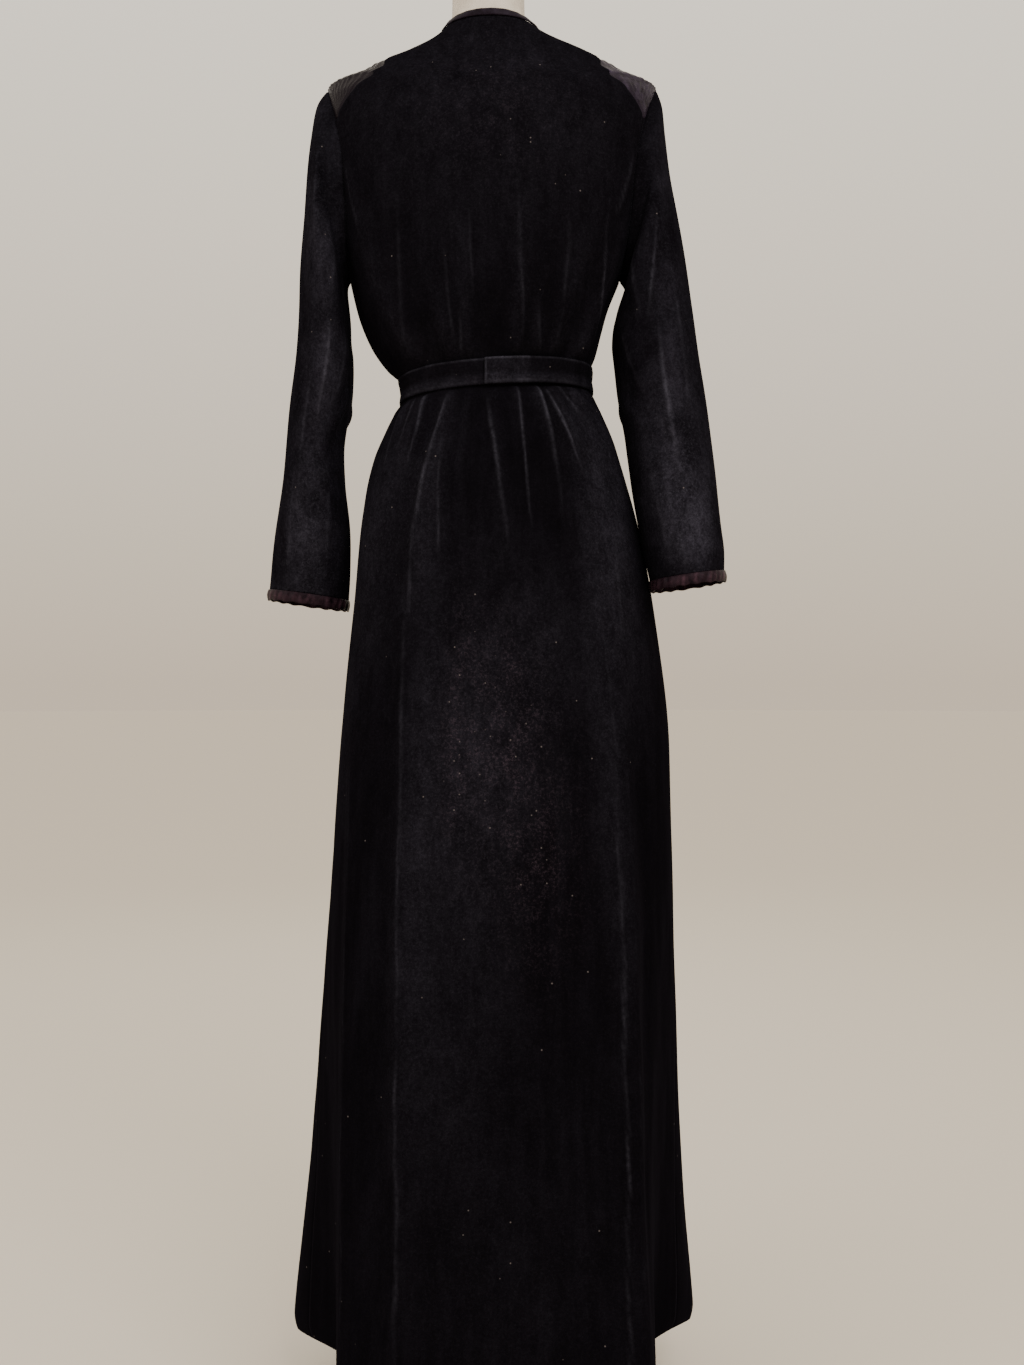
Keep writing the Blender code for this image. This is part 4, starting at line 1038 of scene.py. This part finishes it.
def cuff(side):
    """One gathered binding, carrying the sleeve on below its edge."""
    name = "cuff_left" if side > 0 else "cuff_right"
    columns, rows = CUFF_COLUMNS, CUFF_ROWS
    turn = 2 * math.pi * np.arange(columns + 1) / columns
    rings = sleeve_rings(side, turn)
    end = rings[-1]
    centre = end[:-1].mean(axis=0)
    way = centre - rings[-2][:-1].mean(axis=0)
    way /= np.linalg.norm(way)
    out = end - centre
    out /= np.linalg.norm(out, axis=1, keepdims=True)
    kept = {}

    def place(column, row):
        share = row / rows
        step = column % columns
        theta = turn[step]
        slant = CUFF_GATHERS * theta + 2.4 * share + 1.4 * np.sin(3 * theta + side) + 0.9 * np.sin(7 * theta)
        wave = 0.5 + 0.5 * np.sin(slant)
        belly = np.sin(math.pi * np.clip(0.1 + 0.8 * share, 0, 1))
        # painted glints: the gathers' crests and bellies are painted lighter
        gleam = 0.5 + 0.5 * np.sin(0.31 * slant + 2.2 * np.sin(4 * theta))
        kept["painted_light"] = 0.08 + 0.18 * belly + 0.55 * wave * belly * gleam
        pucker = (wave - 0.5) * belly * (0.6 + 0.4 * np.sin(5 * theta + 1))
        lift = CUFF_LIFT + CUFF_BELLY * belly + CUFF_PUCKER * pucker
        edge = 0.0006 * np.sin(0.5 * slant) * share
        along = (SEAM_GAP + CUFF_DEEP * share + edge)[:, None]
        return end[step] + way * along + out[step] * lift[:, None]

    piece = grid_piece(name, columns, rows, place, False, True, kept)
    finish_satin(piece, satin_cuff, "cuff_binding_left" if side > 0 else "cuff_binding_right", BINDING_WALL)
    return piece


satin_cuff = satin("satin_cuff", SATIN_CUFF_HIGHLIGHT)
cuff_left = cuff(1)
cuff_right = cuff(-1)

# Neck binding
# A narrow satin strip folded over the raw neckline and sewn down, round the back of the neck and down the V.
BINDING_DEEP = 0.0065
BINDING_LAP = 0.0014
BINDING_FOOT = 1.463
BINDING_ROWS = 8
BINDING_LIFT, BINDING_ROLL = 0.0012, 0.0012
# The binding's satin crinkles carry a painted highlight of this strength.
BINDING_PAINTED_SHINE = 0.25


def neck_strip():
    """The binding follows the neckline on the robe's surface."""
    drop = np.linspace(BINDING_FOOT, NAPE, 26)[:-1]
    turns = np.linspace(float(front_edge(1, NAPE)), float(front_edge(-1, NAPE)), 120)
    angle = np.concatenate((front_edge(1, drop), turns, front_edge(-1, drop[::-1])))
    height = np.concatenate((drop, np.full(len(turns), NAPE), drop[::-1]))
    spots = smooth_point(angle, height)
    ahead = np.gradient(spots, axis=0)
    ahead /= np.linalg.norm(ahead, axis=1, keepdims=True)
    out = smooth_normal(angle, height)
    inward = np.cross(out, ahead)
    turn_way = (smooth_point(angle + 0.01, height) - spots) / 0.01
    rise_way = (smooth_point(angle, height + 0.001) - spots) / 0.001
    rows = BINDING_ROWS

    def place(column, row):
        share = row / rows
        reach = (BINDING_DEEP * share - BINDING_LAP * (1 - share))[:, None] * inward[column]
        ways = np.stack((turn_way[column], rise_way[column]), axis=-1)
        shift = np.einsum("nij,nj->ni", np.linalg.pinv(ways), reach)
        new_angle, new_height = angle[column] + shift[:, 0], height[column] + shift[:, 1]
        roll = BINDING_ROLL * np.sqrt(np.clip(1 - (2 * share - 1) ** 2, 0, 1)) + 0.0002 * np.sin(0.9 * column)
        lift = BINDING_LIFT + roll * 0.7
        return smooth_point(new_angle, new_height) + lift[:, None] * smooth_normal(new_angle, new_height)

    return grid_piece("neck_band", len(angle) - 1, rows, place, True, marks={"painted_light": BINDING_PAINTED_SHINE})


neck_band = neck_strip()
finish_satin(neck_band, satin_cloth, "neck_binding", BINDING_WALL)

# Belt
# A strip of the same velvet, folded and turned, that holds the waist. It closes at the middle of the back,
# where the end from the wearer's right lies on top; a soft crease runs along it. Painted highlights lie on
# its edges and on the tip of its top end, and its lower half and its top end are painted lighter.
BELT_UNDER_END, BELT_OVER_END = -26, 364.5
BELT_CLIMB = (285, 325)
BELT_LIFT = 0.0034
BELT_STEP = 0.0034
BELT_WALL = 0.0018
BELT_COLUMNS, BELT_ROWS = 360, 26
BELT_CREASE, BELT_EDGE, BELT_TIP = 0.0007, 0.0010, 0.0008
BELT_RUBBED = 12


def belt():
    """The strip lies on the gathered cloth and climbs over its own end."""
    columns, rows = BELT_COLUMNS, BELT_ROWS
    kept = {}

    def place(column, row):
        turn = BELT_UNDER_END + (BELT_OVER_END - BELT_UNDER_END) * column / columns
        climb = soft_step((turn - BELT_CLIMB[0]) / (BELT_CLIMB[1] - BELT_CLIMB[0]))
        angle = np.radians(turn)
        ramp_turn = LAP_RAMP / radius(np.array(math.pi), np.array(BELT_MIDDLE))
        start = 2 * math.pi + front_edge(-1, np.array(BELT_MIDDLE))
        end = front_edge(1, np.array(BELT_MIDDLE)) + 3 * ramp_turn
        over = soft_step((angle - start) / ramp_turn + 1) * soft_step((end - angle) / ramp_turn)
        share = row / rows
        crease = -BELT_CREASE * np.exp(-(((share - 0.46 - 0.05 * np.sin(3 * angle)) / 0.09) ** 2))
        edge = -BELT_EDGE * (1 - soft_step(np.minimum(share, 1 - share) / 0.16))
        slack = 0.0004 * np.sin(7 * angle + 3 * share) + 0.0003 * np.sin(17 * angle - 4 * share)
        lift = BELT_LIFT + BELT_STEP * climb + LAP_LIFT * over + crease + edge + slack
        lift = lift - BELT_TIP * soft_step((turn - BELT_OVER_END + 2.5) / 2.5)
        height = BELT_MIDDLE + BELT_HIGH * (share - 0.5) + 0.0006 * np.sin(2 * angle + 1)
        # painted highlights on the belt's edges and tip; its lower half and top end are painted lighter
        over_piece = soft_step((turn - 330) / 8)
        rim = np.exp(-(((share - 0.955) / 0.035) ** 2)) + 0.8 * np.exp(-(((share - 0.10) / 0.05) ** 2))
        tip = np.exp(-(((BELT_OVER_END - 0.8 - turn) / 0.55) ** 2))
        uneven = 0.8 + 0.2 * np.sin(29 * angle + 2) * np.sin(13 * angle)
        kept["painted_light"] = np.clip(uneven * rim * (0.42 + 0.50 * over_piece) + 0.95 * tip, 0, 1)
        low_half = np.exp(-(((share - 0.22) / 0.16) ** 2))
        kept["nap_and_sheen"] = 0.16 + 0.36 * low_half + 0.34 * over_piece
        rubbed = (turn - BELT_RUBBED + 180) % 360 - 180
        kept["worn"] = 0.4 * np.exp(-((rubbed / 9) ** 2)) * low_half
        middle = np.full(len(angle), BELT_MIDDLE)
        return smooth_point(angle, height) + lift[:, None] * smooth_normal(angle, middle)

    return grid_piece("waist_belt", columns, rows, place, False, marks=kept)


waist_belt = belt()
finish_velvet(waist_belt, velvet_body, "belt", BELT_WALL)

# Dress form
# A limbless torso covered in stretched cream cloth with flat seams at the middle of the back and front. Only
# its neck shows above the robe.
LINEN_LIGHT = (0.70, 0.64, 0.56)
LINEN_DARK = (0.50, 0.44, 0.37)
FORM_FOOT, NECK_TOP = 0.885, 1.618
FORM_COLUMNS, FORM_ROWS = 96, 150
FORM_SEAM = 0.0007
SLUB_SCALE = 40
CLOTH_WALL = 0.002


def linen():
    """Plain-woven cover with a faint slub."""
    material, tree, shader, place = new_material("form_cover")
    shader.inputs["Roughness"].default_value = 0.86
    shader.inputs["Sheen Weight"].default_value = 0.15
    cut = node(tree, "ShaderNodeUVMap", uv_map="cut").outputs["UV"]
    fine = node(tree, "ShaderNodeMapping", {"Vector": cut, "Scale": (620, 900, 1)}).outputs["Vector"]
    yarn = {"Vector": fine, "Scale": 1.0, "Distortion": 0.6}
    warp = node(tree, "ShaderNodeTexWave", yarn, bands_direction="X")
    weft = node(tree, "ShaderNodeTexWave", yarn, bands_direction="Y")
    cloth = times(tree, warp.outputs["Fac"], weft.outputs["Fac"])
    slub = noise(tree, place, SLUB_SCALE, 5)
    colour = blend(tree, ramp(tree, slub, 0.25, 0.75), LINEN_DARK, LINEN_LIGHT)
    colour = blend(tree, times(tree, cloth, 0.4), colour, LINEN_LIGHT)
    tree.links.new(colour, shader.inputs["Base Color"])
    tree.links.new(relief(tree, cloth, 0.3, 0.0004), shader.inputs["Normal"])
    return material


def close_ends(piece):
    """Fills the open ends of a tube."""
    form = bmesh.new()
    form.from_mesh(piece.data)
    bmesh.ops.holes_fill(form, edges=[edge for edge in form.edges if edge.is_boundary], sides=0)
    bmesh.ops.recalc_face_normals(form, faces=form.faces)
    form.to_mesh(piece.data)
    form.free()


def torso():
    """The form fills the shoulders and waist and stays inside the cloth elsewhere."""
    columns, rows = FORM_COLUMNS, FORM_ROWS
    heights = np.linspace(FORM_FOOT, NECK_TOP, rows + 1)

    def place(column, row):
        angle = 2 * math.pi * column / columns
        height = heights[row]
        inset = CLOTH_WALL + body_shape["ease"](height)
        seam = FORM_SEAM * np.exp(-((((np.degrees(angle) + 90) % 180 - 90) / 1.2) ** 2))
        points = smooth_point(angle, height) - (inset + seam)[:, None] * smooth_normal(angle, height)
        points[:, 2] = np.where((row == 0) | (row == rows), height, points[:, 2])
        return points

    piece = grid_piece("form_torso", columns, rows, place, False, True)
    close_ends(piece)
    return piece


form_torso = torso()
form_torso.data.materials.append(linen())
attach(form_torso, "root")
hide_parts("form_body")

# Stand and neck cap
# A steel tube with a welded flange under the form, standing in the hub of a round base plate, all in grey
# satin paint; a low cap of the same finish closes the neck.
STEEL = (0.30, 0.30, 0.31)
STEEL_WORN = (0.42, 0.42, 0.43)
RUB_SCALE, PEEL_SCALE = 22, 420
POLE_RADIUS, FLANGE_RADIUS, FLANGE_THICK = 0.0125, 0.04, 0.006
BASE_RADIUS, BASE_THICK, HUB_RADIUS, HUB_TOP = 0.16, 0.012, 0.024, 0.05
EDGE, FILLET, BASE_EDGE, BASE_CORNER = 0.0012, 0.003, 0.002, 0.0006
STAND_GAP = 0.0003
SPIN_STEPS = 96
SHARP = 40


def paint():
    """Grey satin paint, rubbed lighter in places."""
    material, tree, shader, place = new_material("stand_paint")
    shader.inputs["Metallic"].default_value = 0.6
    rub = noise(tree, place, RUB_SCALE, 6, 0.65)
    tree.links.new(blend(tree, ramp(tree, rub, 0.45, 0.75), STEEL, STEEL_WORN), shader.inputs["Base Color"])
    rough = node(tree, "ShaderNodeMapRange", {"Value": rub, "To Min": 0.32, "To Max": 0.5})
    tree.links.new(rough.outputs["Result"], shader.inputs["Roughness"])
    peel = noise(tree, place, PEEL_SCALE, 2)
    tree.links.new(relief(tree, peel, 0.1, 0.0002), shader.inputs["Normal"])
    return material


def turned(name, profile, cad_node):
    """A solid spun round the pole's axis from (radius, height) points."""
    form = bmesh.new()
    points = [form.verts.new((reach, 0, height)) for reach, height in profile]
    edges = [form.edges.new(pair) for pair in zip(points, points[1:])]
    whole = {"axis": (0, 0, 1), "cent": (0, 0, 0), "angle": 2 * math.pi}
    bmesh.ops.spin(form, geom=points + edges, **whole, steps=SPIN_STEPS, use_merge=True)
    bmesh.ops.remove_doubles(form, verts=form.verts, dist=2 * MERGE)
    bmesh.ops.recalc_face_normals(form, faces=form.faces)
    mesh = bpy.data.meshes.new(name)
    form.to_mesh(mesh)
    form.free()
    mesh.shade_smooth()
    mesh.set_sharp_from_angle(angle=math.radians(SHARP))
    piece = bpy.data.objects.new(name, mesh)
    bpy.context.scene.collection.objects.link(piece)
    piece.data.materials.append(stand_paint)
    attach(piece, "root")
    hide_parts(cad_node)
    return piece


stand_paint = paint()
pole_top = FORM_FOOT - STAND_GAP
flange_foot = pole_top - FLANGE_THICK
turned(
    "pole",
    (
        (0, pole_top),
        (FLANGE_RADIUS - EDGE, pole_top),
        (FLANGE_RADIUS, pole_top - EDGE),
        (FLANGE_RADIUS, flange_foot + EDGE),
        (FLANGE_RADIUS - EDGE, flange_foot),
        (POLE_RADIUS + FILLET, flange_foot),
        (POLE_RADIUS, flange_foot - FILLET),
        (POLE_RADIUS, BASE_THICK + STAND_GAP),
        (0, BASE_THICK + STAND_GAP),
    ),
    "stand_pole",
)
turned(
    "base",
    (
        (0, BASE_THICK),
        (POLE_RADIUS + STAND_GAP, BASE_THICK),
        (POLE_RADIUS + STAND_GAP, HUB_TOP),
        (HUB_RADIUS - EDGE, HUB_TOP),
        (HUB_RADIUS, HUB_TOP - EDGE),
        (HUB_RADIUS, BASE_THICK + FILLET),
        (HUB_RADIUS + FILLET, BASE_THICK),
        (BASE_RADIUS - BASE_EDGE, BASE_THICK),
        (BASE_RADIUS - BASE_CORNER, BASE_THICK - BASE_CORNER),
        (BASE_RADIUS, BASE_THICK - BASE_EDGE),
        (BASE_RADIUS, 0),
        (0, 0),
    ),
    "stand_base",
)

# The cap: rise above the neck and share of the neck's width.
CAP_COLUMNS = 96
NECK_CAP_PROFILE = ((0.0, 1.04), (0.004, 1.04), (0.0058, 1.0), (0.0075, 0.90), (0.0085, 0.55), (0.0087, 0.2))


def neck_cap():
    """A low oval cap on the form's neck."""
    columns, rows = CAP_COLUMNS, len(NECK_CAP_PROFILE) - 1
    rises = np.array([row[0] for row in NECK_CAP_PROFILE])
    shares = np.array([row[1] for row in NECK_CAP_PROFILE])
    inset = CLOTH_WALL + float(body_shape["ease"](NECK_TOP))
    turn = 2 * math.pi * np.arange(columns) / columns
    top = np.full(columns, NECK_TOP)
    rim = smooth_point(turn, top) - inset * smooth_normal(turn, top)
    middle = (rim[columns // 4] + rim[3 * columns // 4]) / 2

    def place(column, row):
        points = middle + (rim[column % columns] - middle) * shares[row][:, None]
        points[:, 2] = NECK_TOP + STAND_GAP + rises[row]
        return points

    piece = grid_piece("neck_top_cap", columns, rows, place, True, True)
    close_ends(piece)
    return piece


cap = neck_cap()
cap.data.materials.append(stand_paint)
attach(cap, "root")
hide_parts("neck_cap")

# Floor and light
# A plain pale floor without an end, a pale sky of soft light and three wide lamps: the strongest high on the
# right of the camera, one on its left, and one that lights the robe's front.
FLOOR_COLOUR = (0.66, 0.60, 0.52)
SKY_LOW = (0.790, 0.655, 0.500)
SKY_HIGH = (1.24, 1.13, 0.96)
SKY_REACH = 0.45
FLOOR_RADIUS = 40
LAMP_COLOUR = (1.0, 0.97, 0.92)

floor_mesh = bpy.data.meshes.new("floor")
floor_form = bmesh.new()
bmesh.ops.create_circle(floor_form, cap_ends=True, radius=FLOOR_RADIUS, segments=96)
floor_form.to_mesh(floor_mesh)
floor_form.free()
floor = bpy.data.objects.new("floor", floor_mesh)
bpy.context.scene.collection.objects.link(floor)
floor_paint, _, floor_shader, _ = new_material("floor_paint")
floor_shader.inputs["Base Color"].default_value = (*FLOOR_COLOUR, 1)
floor_shader.inputs["Roughness"].default_value = 0.9
floor_mesh.materials.append(floor_paint)

sky = bpy.data.worlds.new("sky")
sky.use_nodes = True
way = node(sky.node_tree, "ShaderNodeTexCoord").outputs["Generated"]
lift = node(sky.node_tree, "ShaderNodeSeparateXYZ", {"Vector": way}).outputs["Z"]
tone = blend(sky.node_tree, ramp(sky.node_tree, lift, 0.0, SKY_REACH), SKY_LOW, SKY_HIGH)
sky.node_tree.links.new(tone, sky.node_tree.nodes["Background"].inputs["Color"])
bpy.context.scene.world = sky


def lamp(name, spot, aim, size, power):
    """A wide soft lamp that points at a place."""
    light = bpy.data.lights.new(name, "AREA")
    light.shape = "RECTANGLE"
    light.size, light.size_y = size
    light.energy = power
    light.color = LAMP_COLOUR
    piece = bpy.data.objects.new(name, light)
    piece.location = spot
    away = np.array(spot) - np.array(aim)
    away = away / np.linalg.norm(away)
    piece.rotation_euler = (math.acos(away[2]), 0, math.atan2(away[1], away[0]) + math.pi / 2)
    bpy.context.scene.collection.objects.link(piece)


lamp("lamp_high", (-1.2, 2.4, 2.9), (0, 0, 1.0), (1.6, 1.2), 55)
lamp("lamp_side", (2.2, 1.4, 1.8), (0, 0, 0.9), (1.2, 1.8), 18)
lamp("lamp_front", (0.4, -2.6, 2.6), (0, 0, 1.0), (2.0, 1.4), 20)
